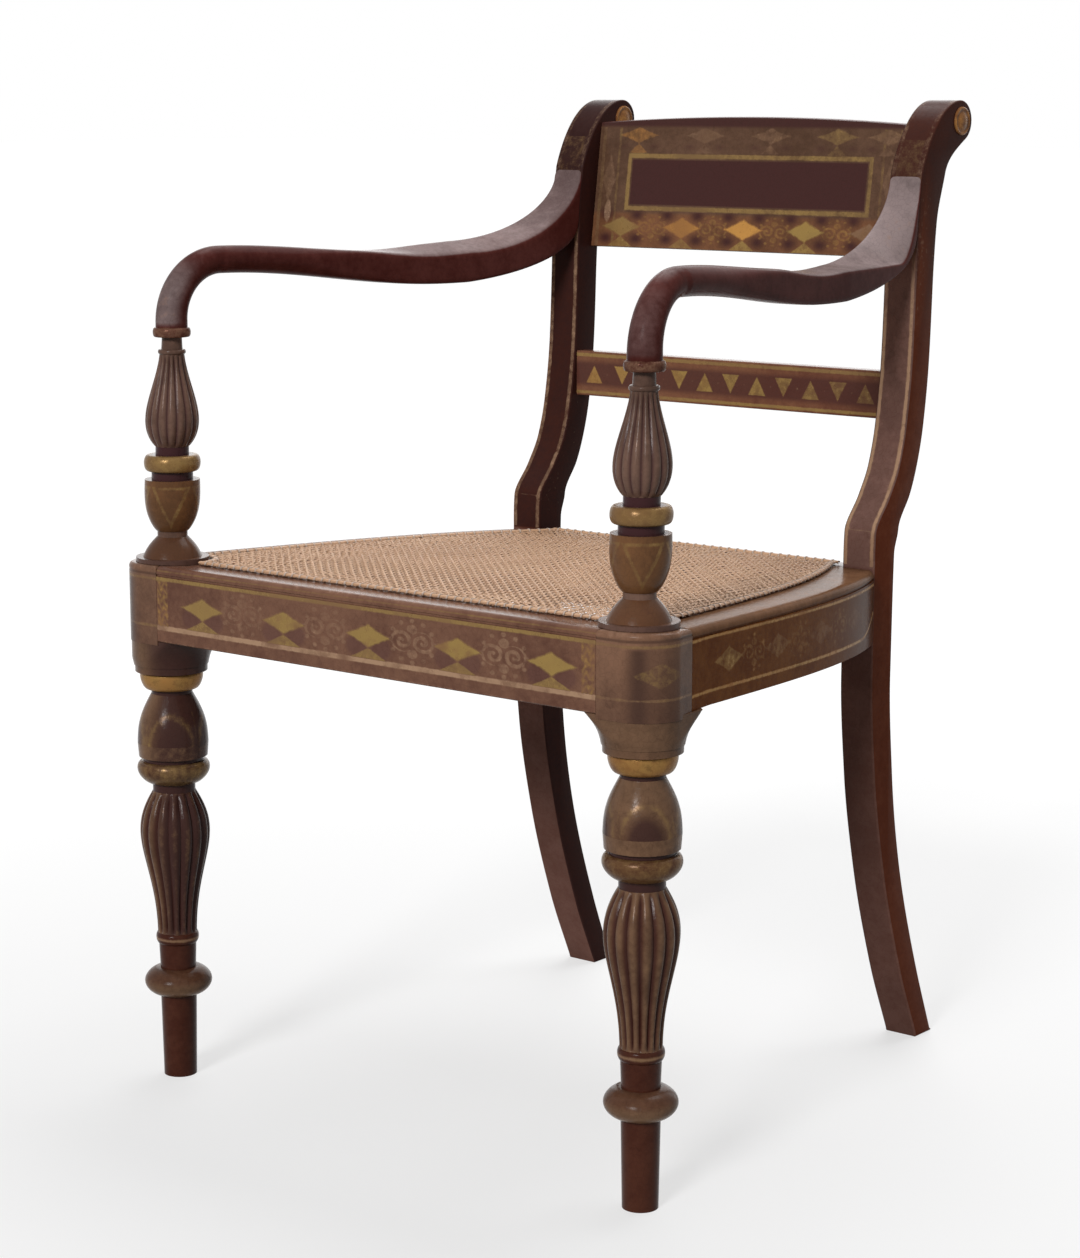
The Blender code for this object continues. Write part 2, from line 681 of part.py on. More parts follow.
def arm_section(width, bottom, top, power):
    """Superellipse of the arm at one place: top may differ across it."""
    turn = np.arange(ARM_AROUND) * 2 * math.pi / ARM_AROUND
    c, s = np.cos(turn), np.sin(turn)
    u = np.sign(c) * np.abs(c) ** (2 / power)
    v = -np.sign(s) * np.abs(s) ** (2 / power)
    return width * u, bottom + (top(u) - bottom) * (v + 1) / 2


def swept(y, end, length, tall):
    """Rise of a quarter ellipse that leaves level a length before its end and stands upright there."""
    reach = np.clip((y - end + length) / length, 0, 1)
    return tall * (1 - np.sqrt(1 - reach**2))


def eased(t):
    """Smooth step from 0 at 0 to 1 at 1."""
    t = min(1.0, max(0.0, t))
    return t * t * (3 - 2 * t)


def arm(name, side, edges):
    """Arm turned down on to its support, dipping along its run, then swept up the post's front."""
    turn = np.arange(ARM_AROUND) * 2 * math.pi / ARM_AROUND
    run_from = SUPPORT_LEAN + ARM_BEND
    end = post_face(ARM_CONTACT + ARM_REAR_HALF_HEIGHT) - FIT
    sweep_from = end - ARM_SWEEP
    (inner_sweep, inner_level), (outer_sweep, outer_level) = edges

    def middle(y):
        return SUPPORT_X + (POST_X - SUPPORT_X) * (y - SUPPORT_LEAN) / (end - SUPPORT_LEAN)

    def section(y, low, high, width, power):
        bottom = low + swept(y, end, ARM_UNDER_SWEEP, ARM_UNDER_TALL)
        settled = eased((y - ARM_SETTLE_FROM) / ARM_SETTLE_LENGTH)

        def top(u):
            outward = (1 + u) / 2
            length = inner_sweep + (outer_sweep - inner_sweep) * outward
            level = inner_level + (outer_level - inner_level) * outward
            return high + level * settled + swept(y, end, length, ARM_SWEEP_TALL - level)

        return arm_section(width, bottom, top, power)

    rings = []
    for share, scale in (*ARM_RING_PROFILE, (1.0, ARM_RADIUS / ARM_RING_RADIUS)):
        r = ARM_RING_RADIUS * scale
        x = SUPPORT_X + r * np.cos(turn)
        y = SUPPORT_LEAN + r * np.sin(turn)
        rings.append(np.stack([side * x, y, np.full(ARM_AROUND, ARM_FOOT + ARM_RING_TALL * share)], axis=1))
    for share in np.arange(ARM_BEND_STEPS) / ARM_BEND_STEPS:
        a = share * math.pi / 2
        r = ARM_RADIUS + (ARM_WAIST_HALF_HEIGHT - ARM_RADIUS) * share
        along = SUPPORT_LEAN + ARM_BEND * (1 - math.cos(a))
        x = middle(along) + r * np.cos(turn)
        y = along + r * np.sin(turn) * math.cos(a)
        z = ARM_BEND_FOOT + ARM_BEND * math.sin(a) - r * np.sin(turn) * math.sin(a)
        rings.append(np.stack([side * x, y, z], axis=1))
    for y in np.linspace(run_from, sweep_from, ARM_RUN_STEPS + 1):
        centre = ARM_HEIGHT - ARM_DIP * eased((y - run_from) / ARM_DIP_LENGTH)
        swell = (max(0.0, y - ARM_WAIST) / (sweep_from - ARM_WAIST)) ** 2
        half = ARM_WAIST_HALF_HEIGHT + (ARM_REAR_HALF_HEIGHT - ARM_WAIST_HALF_HEIGHT) * swell
        width = ARM_WAIST_HALF_WIDTH + (ARM_REAR_HALF_WIDTH - ARM_WAIST_HALF_WIDTH) * swell
        power = 2 + (ARM_SQUARE_POWER - 2) * swell
        x, z = section(y, centre - half, centre + half, width, power)
        rings.append(np.stack([side * (middle(y) + x), np.full(ARM_AROUND, y), z], axis=1))
    for a in np.linspace(0, math.pi / 2, ARM_SWEEP_STEPS + 1)[1:]:
        share = math.sin(a)
        y = sweep_from + ARM_SWEEP * share
        x, z = section(y, ARM_LOW, ARM_HIGH, ARM_REAR_HALF_WIDTH, ARM_SQUARE_POWER)
        follow = (post_face(z) - FIT - end) * share**2
        rings.append(np.stack([side * (middle(y) + x), y + follow, z], axis=1))
    piece = loft(name, rings, level_end=True)
    mouth = (side * SUPPORT_X, SUPPORT_LEAN, ARM_FOOT)
    reach = (-UPPER_DOWEL_RADIUS, UPPER_DOWEL_LENGTH + FIT)
    bore = rod(name + "_bore", mouth, 2, reach, [UPPER_DOWEL_RADIUS + FIT] * 2, SEGMENTS)
    combine(piece, bore, "DIFFERENCE")
    return piece


def arm_screw(label, side, post, piece):
    """Screw from the rear of a post into its arm, under a wooden plug."""
    z = ARM_CONTACT + SCREW_RADIUS + SCREW_EDGE
    face = post_rear(z)
    front = post_front(z)
    seat = face - PLUG_LENGTH - FIT - SCREW_HEAD_TALL
    centre = (side * POST_X, 0, z)
    spare = PLUG_LENGTH
    wide = PLUG_RADIUS + FIT
    thin = SCREW_RADIUS + FIT
    tip = front - SCREW_BITE
    counterbore = (seat - FIT, face + spare)
    combine(post, rod("counterbore_" + label, centre, 1, counterbore, [wide] * 2), "DIFFERENCE")
    combine(post, rod("clearance_" + label, centre, 1, (front - spare, seat), [thin] * 2), "DIFFERENCE")
    combine(piece, rod("pilot_" + label, centre, 1, (tip - FIT, front + spare), [thin] * 2), "DIFFERENCE")
    along = (tip, seat, seat, seat + SCREW_HEAD_TALL)
    radii = (SCREW_RADIUS, SCREW_RADIUS, SCREW_HEAD_RADIUS, SCREW_HEAD_RADIUS)
    rod("arm_screw_" + label, centre, 1, along, radii, colour=IRON, roughness=0.5, metallic=1.0)
    plug_from = seat + SCREW_HEAD_TALL + FIT
    rod("arm_plug_" + label, centre, 1, (plug_from, plug_from + PLUG_LENGTH), [PLUG_RADIUS] * 2)


def cane_side(y):
    """Half-width of the cane, hollowed at the front corners round the arm supports' bases."""
    front = seat_side(0) - CANE_INSET
    back = POST_INNER - CANE_BACK_CLEAR
    straight = front - (front - back) * turn_in(np.minimum(y, SEAT_DEPTH))
    hollow = BASE_DISC_RADIUS + CANE_CORNER_CLEAR
    return np.minimum(straight, SUPPORT_X - np.sqrt(np.maximum(0, hollow**2 - y**2)))


def cane_point(u, v, lift):
    """Point of the seat's top plane: u from -1 to 1 across, v from 0 to 1 front to back."""
    y = CANE_FRONT + CANE_LENGTH * v
    return (u * cane_side(y), y, seat_z(y) + lift)


def strand_edges(gaps, span):
    """Both edges of every strand, as shares of the span, for a count of gaps between strands."""
    half = CANE_STRAND / 2 / span
    edges = [0.0]
    for i in range(gaps):
        edges += [i / gaps + half, (i + 1) / gaps - half]
    return edges + [1.0]


def cane_net():
    """Flat net with square gaps: every gap has its own walls between the upper and lower sheets."""
    across = strand_edges(CANE_COLUMNS, 2 * cane_side(0.0))
    along = strand_edges(CANE_ROWS, CANE_LENGTH)
    points = []
    for lift in (FIT, FIT + CANE_THICK):
        for v in along:
            points += [cane_point(2 * u - 1, v, lift) for u in across]
    wide, deep = len(across) - 1, len(along) - 1

    def at(corner, layer):
        i, j = corner
        return (layer * len(along) + j) * len(across) + i

    def is_open(i, j):
        inside = 0 <= i < wide and 0 <= j < deep
        return not inside or (i % 2 == 1 and j % 2 == 1)

    faces = []
    for i, j in np.ndindex(wide, deep):
        if is_open(i, j):
            continue
        corners = [(i, j), (i + 1, j), (i + 1, j + 1), (i, j + 1)]
        beside = [(i, j - 1), (i + 1, j), (i, j + 1), (i - 1, j)]
        faces.append([at(corner, 0) for corner in reversed(corners)])
        faces.append([at(corner, 1) for corner in corners])
        for k in range(4):
            if is_open(*beside[k]):
                p, q = corners[k], corners[(k + 1) % 4]
                faces.append((at(p, 0), at(q, 0), at(q, 1), at(p, 1)))
    solid("cane_seat", points, faces, colour=CANE_TAN, roughness=0.6)


def binder(name, route):
    """Half-round cane binder laid over the net's edge along a route of (u, v) points."""
    low = 2 * FIT + CANE_THICK
    path = np.array([cane_point(u, v, 0) for u, v in route])
    ahead = np.gradient(path, axis=0)[:, :2]
    ahead /= np.linalg.norm(ahead, axis=1)[:, None]
    sideways = np.stack([ahead[:, 1], -ahead[:, 0]], axis=1)
    sideways[[0, -1]] = np.round(sideways[len(sideways) // 2])
    rings = []
    for centre, normal in zip(path, sideways):
        ring = []
        for across, up in BINDER_SECTION:
            x, y = centre[:2] + normal * across * BINDER_WIDTH
            ring.append((x, y, seat_z(y) + low + up * BINDER_THICK))
        rings.append(ring)
    loft(name, rings, colour=CANE_TAN, roughness=0.5)


def binders():
    """A binder along each side of the cane, the two side ones stopping short of the others."""
    edge = 0.5 * BINDER_WIDTH / CANE_LENGTH
    clear = 2 * edge + FIT / CANE_LENGTH
    corner = (SUPPORT_X - cane_side(0.0) - CANE_FRONT) / CANE_LENGTH
    inset = 1 - 0.5 * BINDER_WIDTH / cane_side(SEAT_DEPTH)
    hollow = np.linspace(clear, corner, BINDER_STEPS)
    straight = np.linspace(corner, 1 - clear, BINDER_STEPS)
    binder("binder_front", [(u, edge) for u in (-1, 0, 1)])
    binder("binder_back", [(u, 1 - edge) for u in (-1, 0, 1)])
    binder("binder_left", [(-inset, v) for v in (*hollow[:-1], *straight)])
    binder("binder_right", [(inset, v) for v in (*hollow[:-1], *straight)])


def assemble():
    sides = {"left": -1, "right": 1}
    legs = {label: front_leg("front_leg_" + label, side) for label, side in sides.items()}
    posts = {label: back_post("back_post_" + label, side) for label, side in sides.items()}
    pairs = [(posts[label], side) for label, side in sides.items()]
    front_rail(legs["left"], legs["right"])
    front = SEAT_DEPTH + FIT
    bottom = side_bottom(SEAT_DEPTH)
    cross_bar("back_rail", pairs, front, bottom, seat_z, BACK_RAIL_WIDTH, BACK_TENON, BACK_SHOULDER)
    level = TIE_BOTTOM + TIE_TALL
    front = post_front(TIE_BOTTOM + TIE_TALL / 2) + TIE_SETBACK
    cross_bar("tie_rail", pairs, front, TIE_BOTTOM, lambda y: level, TIE_THICK, TIE_TENON, TIE_SHOULDER)
    crest_rail(pairs)
    for label, side in sides.items():
        side_rail("side_rail_" + label, side, legs[label], posts[label])
        arm_support("arm_support_" + label, side)
        elbow = arm("arm_" + label, side, ARM_EDGES[label])
        arm_screw(label, side, posts[label], elbow)
        roundel(f"scroll_roundel_{label}_outer", posts[label], side, True)
        roundel(f"scroll_roundel_{label}_inner", posts[label], side, False)
    cane_net()
    binders()


assemble()
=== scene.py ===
"""Looks of the japanned and parcel-gilt elbow chair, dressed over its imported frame.

Metres, +Z up, the chair facing -Y. Depths are measured backwards from the axis of the front legs.
"""

import math

import bpy
import numpy as np
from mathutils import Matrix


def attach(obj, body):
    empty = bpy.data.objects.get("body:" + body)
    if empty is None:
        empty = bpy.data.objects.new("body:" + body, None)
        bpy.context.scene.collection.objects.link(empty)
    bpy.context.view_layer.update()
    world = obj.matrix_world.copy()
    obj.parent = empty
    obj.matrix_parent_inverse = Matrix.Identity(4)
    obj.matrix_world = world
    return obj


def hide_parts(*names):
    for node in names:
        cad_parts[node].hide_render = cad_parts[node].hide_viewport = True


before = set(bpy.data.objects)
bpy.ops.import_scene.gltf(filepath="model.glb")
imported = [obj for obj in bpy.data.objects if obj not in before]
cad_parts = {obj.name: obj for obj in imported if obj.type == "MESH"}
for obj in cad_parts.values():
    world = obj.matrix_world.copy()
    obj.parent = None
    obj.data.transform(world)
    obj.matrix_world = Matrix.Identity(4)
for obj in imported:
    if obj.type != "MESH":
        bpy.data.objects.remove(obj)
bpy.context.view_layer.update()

# Front legs: turned on a lathe, probably in beech, with the vase reeded by hand, then japanned brown
# and bronzed on the rings. Each runs up into a corner block, rounded outside, that takes the tenons
# of the seat rails.
AXIS_Y = -0.257
LEG_X = 0.2535
BLOCK_OUT = 0.034
BLOCK_IN = 0.019
BLOCK_BACK = 0.0185
BLOCK_EASE = 0.004
BLOCK_STEPS = 79
RAIL_BOTTOM = 0.394
SEAT_FRONT = 0.4585
SEAT_HALF = 0.2875
SEAT_DEPTH = 0.402
SEAT_DROP = 0.0145
SEAT_FALL = SEAT_DROP / (SEAT_DEPTH + BLOCK_OUT)
LEG_TRIM = BLOCK_OUT - 0.0006
BLOCK_FOOT = RAIL_BOTTOM - 0.0035
POST_OUTER = 0.2020
REEDS = 16
LEG_REED = 0.0023
LEG_ROUND = 128


class Wash:
    """A socket of a finish. Sums on it add Math nodes, and node() adds any other node to its tree."""

    def __init__(self, tree, socket):
        self.tree = tree
        self.socket = socket

    def node(self, kind, values, output=0, **settings):
        made = self.tree.nodes.new(kind)
        for key, setting in settings.items():
            if key == "stops":
                ramp = made.color_ramp.elements
                for place, colour in setting[1:-1]:
                    ramp.new(place).color = (*colour, 1)
                ramp[0].position, ramp[-1].position = setting[0][0], setting[-1][0]
                ramp[0].color, ramp[-1].color = (*setting[0][1], 1), (*setting[-1][1], 1)
            else:
                setattr(made, key, setting)
        for key, value in values.items():
            if isinstance(value, Wash):
                self.tree.links.new(value.socket, made.inputs[key])
            else:
                made.inputs[key].default_value = value
        return Wash(self.tree, made.outputs[output])

    def sum(self, operation, *values):
        return self.node("ShaderNodeMath", dict(enumerate(values)), operation=operation)

    def __add__(self, other):
        return self.sum("ADD", self, other)

    __radd__ = __add__

    def __sub__(self, other):
        return self.sum("SUBTRACT", self, other)

    def __rsub__(self, other):
        return self.sum("SUBTRACT", other, self)

    def __mul__(self, other):
        return self.sum("MULTIPLY", self, other)

    def rise(self, low, high):
        """0 under low, 1 over high, eased between."""
        values = {"Value": self, "From Min": low, "From Max": high}
        return self.node("ShaderNodeMapRange", values, interpolation_type="SMOOTHSTEP")

    def between(self, first, second):
        """The mix of two colours with this share of the second."""
        values = {0: self}
        for key, colour in ((6, first), (7, second)):
            values[key] = colour if isinstance(colour, Wash) else (*colour, 1)
        return self.node("ShaderNodeMix", values, 2, data_type="RGBA")

    def cloud(self, scale, detail):
        """Noise over this place."""
        return self.node("ShaderNodeTexNoise", {"Vector": self, "Scale": scale, "Detail": detail})

    def mark(self, name):
        """A number painted on the piece's points."""
        return self.node("ShaderNodeAttribute", {}, "Fac", attribute_name=name)

    def into(self, shader, name):
        """Plug this into an input of a shader."""
        self.tree.links.new(self.socket, shader.inputs[name])


def finish_of(name, roughness):
    """A new finish: its material, its shader and the place on the piece."""
    material = bpy.data.materials.new(name)
    material.use_nodes = True
    tree = material.node_tree
    shader = tree.nodes["Principled BSDF"]
    shader.inputs["Roughness"].default_value = roughness
    place = Wash(tree, tree.nodes.new("ShaderNodeTexCoord").outputs["Object"])
    return material, shader, place


BARE = -3.0
FULL = 9.0
GLOSS = 0.20
GOLD_TONES = (
    (0.0, (0.420, 0.260, 0.160)),
    (0.12, (0.230, 0.130, 0.078)),
    (0.25, (0.225, 0.132, 0.058)),
    (0.5, (0.345, 0.225, 0.068)),
    (0.75, (0.360, 0.165, 0.048)),
    (1.0, (0.600, 0.300, 0.075)),
)
BARE_WOOD = (0.300, 0.170, 0.110)


def japan(name, deep, pale, ink=(0.055, 0.019, 0.021), faded_and_sheen=(0.165, 0.098, 0.062), sheen=0.08):
    """Old japan: clouded ground, faded patches, ink, fine crazing, rubbed edges, and size gilding.

    The marks on the piece say how deep a point lies inside the gilding, in millimetres and BARE where
    there is none, the tone of its gold from faded to orange, how dark it is inked, which on several
    pieces is painted shade, how far its ground has faded, which on the arms and the posts' fronts is a
    painted sheen and highlight, and how exposed it is to rubbing.
    """
    material, shader, place = finish_of(name, GLOSS)
    broad = place.cloud(9, 4)
    patch = place.cloud(60, 4)
    fine = place.cloud(200, 4)
    grit = place.cloud(900, 2)
    shade = (broad * 0.6 + patch * 0.4 + (fine - 0.5) * 0.3).rise(0.32, 0.68)
    ground = shade.between(deep, pale)
    faded_ground_and_sheen = shade.between(tuple(c * 0.78 for c in faded_and_sheen), tuple(c * 1.22 for c in faded_and_sheen))
    # The fade mark also paints sheen and highlight, and the ink mark also paints shade.
    fade_and_sheen = (place.mark("fade") + (patch - 0.5) * 0.16 + (fine - 0.5) * 0.12).rise(0.05, 1.0)
    ground = fade_and_sheen.between(ground, faded_ground_and_sheen)
    inked_and_shaded = (place.mark("ink") + (patch - 0.5) * 0.2 + (fine - 0.5) * 0.2).rise(0.05, 0.95)
    ground = inked_and_shaded.between(ground, ink)
    values = {"Vector": place, "Scale": 210.0}
    crazing = place.node("ShaderNodeTexVoronoi", values, "Distance", feature="DISTANCE_TO_EDGE")
    craze = 1 - crazing.rise(0.0, 0.05)
    ground = (craze * 0.2).between(ground, tuple(c * 0.35 for c in deep))
    rubbed = (place.mark("wear") + (fine - 0.5) * 0.9 + (broad - 0.5) * 0.6).rise(0.45, 0.85)
    ground = (rubbed * 0.75).between(ground, BARE_WOOD)
    depth = place.mark("gilt") + (patch - 0.5) * 0.7 + (fine - 0.5) * 0.9 + (grit - 0.5) * 0.5
    kept = 0.92 - (broad + (patch - 0.5) * 0.8).rise(0.5, 0.8) * 0.5
    leaf = depth.rise(-0.1, 0.9) * kept
    tone = place.mark("tone") + (patch - 0.5) * 0.3
    gilding = tone.node("ShaderNodeValToRGB", {"Fac": tone}, stops=GOLD_TONES)
    colour = leaf.between(ground, gilding)
    colour.into(shader, "Base Color")
    rough = GLOSS + rubbed * 0.25 + leaf * 0.10 + (fine - 0.5) * 0.12
    rough.into(shader, "Roughness")
    (leaf * 0.3).into(shader, "Metallic")
    height = fine * 0.5 + grit * 0.25 + leaf * 0.35 - craze * 0.25
    values = {"Strength": 0.22, "Distance": 0.0005, "Height": height}
    bump = place.node("ShaderNodeBump", values)
    bump.into(shader, "Normal")
    shader.inputs["Specular IOR Level"].default_value = sheen
    return material


def winding(points, quads):
    """1 where a closed skin's faces look outwards and -1 where they look in.

    Its sign is that of the sum of p.(q x r) about the middle, which is six times the volume.
    """
    p, q, r, s = (points[quads[:, n]] - points.mean(axis=0) for n in range(4))
    return 1 if np.sum(p * (np.cross(q, r) + np.cross(r, s))) > 0 else -1


def joined(name, points, faces, marks, finishes):
    """A smooth piece at the origin, with marks on its points and one or more finishes."""
    mesh = bpy.data.meshes.new(name)
    mesh.from_pydata(points.tolist(), [], faces)
    for mark, values in marks.items():
        layer = mesh.attributes.new(mark, "FLOAT", "POINT")
        layer.data.foreach_set("value", values.astype(np.float32))
    mesh.shade_smooth()
    for finish in finishes:
        mesh.materials.append(finish)
    piece = bpy.data.objects.new(name, mesh)
    bpy.context.scene.collection.objects.link(piece)
    return piece


def skin(name, parts, *finishes):
    """Closed skins through grids of section points, joined as one mesh.

    A grid's rows run along the piece and its columns round it, with a polygon over each end. Each
    grid comes with the marks that are painted on it.
    """
    points, faces, coats = [], [], []
    marks = {"gilt": [], "tone": [], "ink": [], "fade": [], "wear": []}
    start = 0
    for order, (grid, painting) in enumerate(parts):
        rows, around = grid.shape[:2]
        along, across = np.meshgrid(np.arange(rows - 1), np.arange(around), indexing="ij")
        here, ahead = along * around, (along + 1) * around
        turn = (across + 1) % around
        corners = [here + across, here + turn, ahead + turn, ahead + across]
        quads = np.stack(corners, axis=-1).reshape(-1, 4)
        flat = grid.reshape(-1, 3)
        way = winding(flat, quads)
        ends = [np.arange(around)[::-1], np.arange(around) + (rows - 1) * around]
        faces += (quads[:, ::way] + start).tolist() + [(end[::way] + start).tolist() for end in ends]
        points.append(flat)
        coats += [min(order, len(finishes) - 1)] * (len(quads) + 2)
        for mark, values in marks.items():
            values.append(np.broadcast_to(painting.get(mark, 0.0), (rows, around)).ravel())
        start += len(flat)
    marks = {mark: np.concatenate(values) for mark, values in marks.items()}
    piece = joined(name, np.concatenate(points), faces, marks, finishes)
    piece.data.set_sharp_from_angle(angle=math.radians(40))
    piece.data.polygons.foreach_set("material_index", coats)
    return piece


def fit(piece, node):
    """Hang a piece on the chair's one body, in place of a node of the frame."""
    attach(piece, "root")
    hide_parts(node)


def placed(x, depth, z):
    """Points from widths, depths behind the legs' axis and heights, spread over one grid."""
    return np.stack(np.broadcast_arrays(x, AXIS_Y + depth, z), axis=-1)


def pairs(first, second):
    """Rows of two values, spread over one length."""
    return np.stack(np.broadcast_arrays(first, second), axis=1)


def circle(count):
    """Angles evenly round a full turn."""
    return np.arange(count)[None, :] * 2 * np.pi / count


def eased(t):
    """0 under 0 and 1 over 1, by 3 t^2 - 2 t^3 between."""
    t = np.clip(t, 0, 1)
    return t * t * (3 - 2 * t)


def turned(mouldings, base):
    """Heights and radii up a turning, with each point's moulding number and share of its height.

    Radius is low + (high - low) t + swell sin(pi t^k)^sharpness, where k sets the height of the peak.
    """
    z, radius, number, share = [], [], [], []
    for order, (tall, low, high, swell, peak, sharpness, steps) in enumerate(mouldings):
        t = (1 - np.cos(np.pi * np.linspace(0, 1, steps + 1))) / 2
        bulge = np.maximum(0, np.sin(np.pi * t ** (math.log(0.5) / math.log(peak)))) ** sharpness
        z.append(base + tall * t)
        radius.append(low + (high - low) * t + swell * bulge)
        number.append(np.full(steps + 1, order))
        share.append(t)
        base += tall
    return (np.concatenate(rows) for rows in (z, radius, number, share))


def by_moulding(number, rest, values):
    """A mark up a turning: each moulding's own value by its number, and one for the rest."""
    return np.select([number == key for key in values], list(values.values()), rest)


def reeded(share, turn):
    """Share of the cut between convex reeds, 1 - |cos(n turn / 2)|, fading at both ends."""
    fade = np.minimum(1, np.minimum(share / 0.05, (1 - share) / 0.07)) ** 0.5
    return fade * (1 - np.abs(np.cos(REEDS * turn / 2)))


def petals(turn):
    """Turn from the middle of the nearest of four petals painted round a turning."""
    return (turn + np.pi / 4 + 0.84) % (np.pi / 2) - np.pi / 4


def line(distance, width):
    """Depth inside a line of a width, by the distance from its middle."""
    return width / 2 - np.abs(distance)


def seat_z(depth):
    """Height of the seat, which falls evenly to the back."""
    return SEAT_FRONT - SEAT_FALL * (depth + BLOCK_OUT)


def narrowed(depth):
    """Share of the seat's narrowing: nearly straight, 0.62 s + 0.38 s^4, then quicker to the posts."""
    s = np.minimum(depth, SEAT_DEPTH) / SEAT_DEPTH
    return 0.62 * s + 0.38 * s**4


def seat_side(depth):
    """Half-width of the seat over its side rails."""
    return SEAT_HALF - (SEAT_HALF - POST_OUTER) * narrowed(depth)


LEG_MOULDINGS = (
    (0.0737, 0.0143, 0.0156, 0.0, 0.5, 1.0, 10),
    (0.024, 0.0158, 0.0156, 0.0136, 0.5, 0.5, 20),
    (0.022, 0.0154, 0.0162, 0.0, 0.5, 1.0, 6),
    (0.010, 0.0162, 0.0169, 0.0020, 0.5, 0.5, 8),
    (0.127, 0.0169, 0.0185, 0.0120, 0.71, 1.0, 60),
    (0.007, 0.0183, 0.0183, 0.0, 0.5, 1.0, 3),
    (0.020, 0.0190, 0.0262, 0.0080, 0.5, 0.5, 16),
    (0.004, 0.0256, 0.0256, 0.0, 0.5, 1.0, 2),
    (0.012, 0.0296, 0.0305, 0.0, 0.5, 1.0, 8),
    (0.043, 0.0305, 0.0178, 0.0035, 0.5, 1.0, 40),
    (0.004, 0.0176, 0.0176, 0.0, 0.5, 1.0, 2),
    (0.016, 0.0200, 0.0240, 0.0045, 0.5, 0.3, 16),
    (0.006, 0.0310, 0.0312, 0.0, 0.5, 1.0, 4),
    (0.025, 0.0320, 0.0450, -0.0025, 0.5, 1.0, 14),
)
ANKLE, FILLET, VASE, WAIST, SHOULDER, CUP, COLLAR, FLANGE, FLARE = 1, 3, 4, 6, 8, 9, 11, 12, 13
LEG_NECKS = (5, 7, 10)


def leg_shaft(side, painted_inner_shade):
    """The turned part of a leg, its flare trimmed flush with the frame's outer faces.

    Painted inner shade darkens the side turned in under the seat, from the vase up, as painted shade.
    """
    z, radius, number, share = (rows[:, None] for rows in turned(LEG_MOULDINGS, 0.0))
    turn = circle(LEG_ROUND)
    outward, forward = side * np.cos(turn), -np.sin(turn)
    trim = np.where(forward > 0, LEG_TRIM / np.maximum(forward, 1e-6), 1.0)
    trim = np.where((outward > 0) & (forward <= 0), LEG_TRIM / np.maximum(outward, 1e-6), trim)
    trim = np.where((outward > 0) & (forward > 0), LEG_TRIM, trim)
    cut = reeded(share, turn) * (number == VASE)
    r = np.minimum(radius - LEG_REED * cut, trim)
    grid = placed(side * LEG_X + r * np.cos(turn), r * np.sin(turn), z)
    petal = petals(turn)
    oval = 1 - np.hypot(petal / 0.62, (share * 43 + 1) / 25)
    spine = 0.5 - (np.pi / 4 - np.abs(petal)) * 14 - np.abs(share - 0.3) * 1.2
    halo = np.maximum(0.35 - np.abs(oval + 0.08) * 2.2, spine * 0.6)
    leaf = by_moulding(number, BARE, {
        ANKLE: 0.4 - 1.6 * eased((share - 0.25) / 0.35),
        FILLET: 1.0 - np.abs(share - 0.5) * 5,
        VASE: 0.1 - 0.9 * cut,
        WAIST: 0.4,
        SHOULDER: 0.15,
        CUP: np.clip(halo, -1, 0.45),
        COLLAR: 0.8,
    })
    tone = by_moulding(number, 0.15, {WAIST: 0.30, CUP: 0.30, COLLAR: 0.68})
    pale = by_moulding(number, 0.0, {
        ANKLE: 0.95 - 0.5 * eased((share - 0.4) / 0.3),
        VASE: 0.8 - 0.8 * cut,
        SHOULDER: 0.8,
        CUP: 0.6 + 0.4 * share,
        FLANGE: 0.75,
        FLARE: 0.85,
    })
    # The necks and the reeds' valleys are inked dark as painted shade in these recesses.
    neck_shade = dict.fromkeys(LEG_NECKS, 0.9)
    shade = by_moulding(number, 0.0, {VASE: 0.65 * cut, CUP: np.clip(oval * 1.8, 0, 0.75), **neck_shade})
    shade = np.maximum(shade, painted_inner_shade * eased(0.35 - outward) * (number >= VASE))
    edge = by_moulding(number, 0.0, {FLANGE: 0.2})
    return grid, {"gilt": leaf, "tone": tone, "ink": shade, "fade": pale, "wear": edge}


def painted(shape, *strokes):
    """Gilding of several strokes, each a depth in millimetres, its limit and its tone.

    The deepest stroke counts. A low limit thins the gold, and FULL sets none.
    """
    depth = np.stack([np.broadcast_to(np.minimum(stroke, limit), shape) for stroke, limit, _ in strokes])
    tone = np.stack([np.broadcast_to(hue, shape) for _, _, hue in strokes])
    top = depth.argmax(axis=0)[None]
    return np.take_along_axis(depth, top, 0)[0], np.take_along_axis(tone, top, 0)[0]


def lozenge(u, v, half_long, half_tall):
    """Depth inside a diamond with hollowed sides, where |u/a|^0.9 + |v/b|^0.9 is under 1."""
    return (1 - np.abs(u / half_long) ** 0.9 - np.abs(v / half_tall) ** 0.9) * half_tall * 0.4


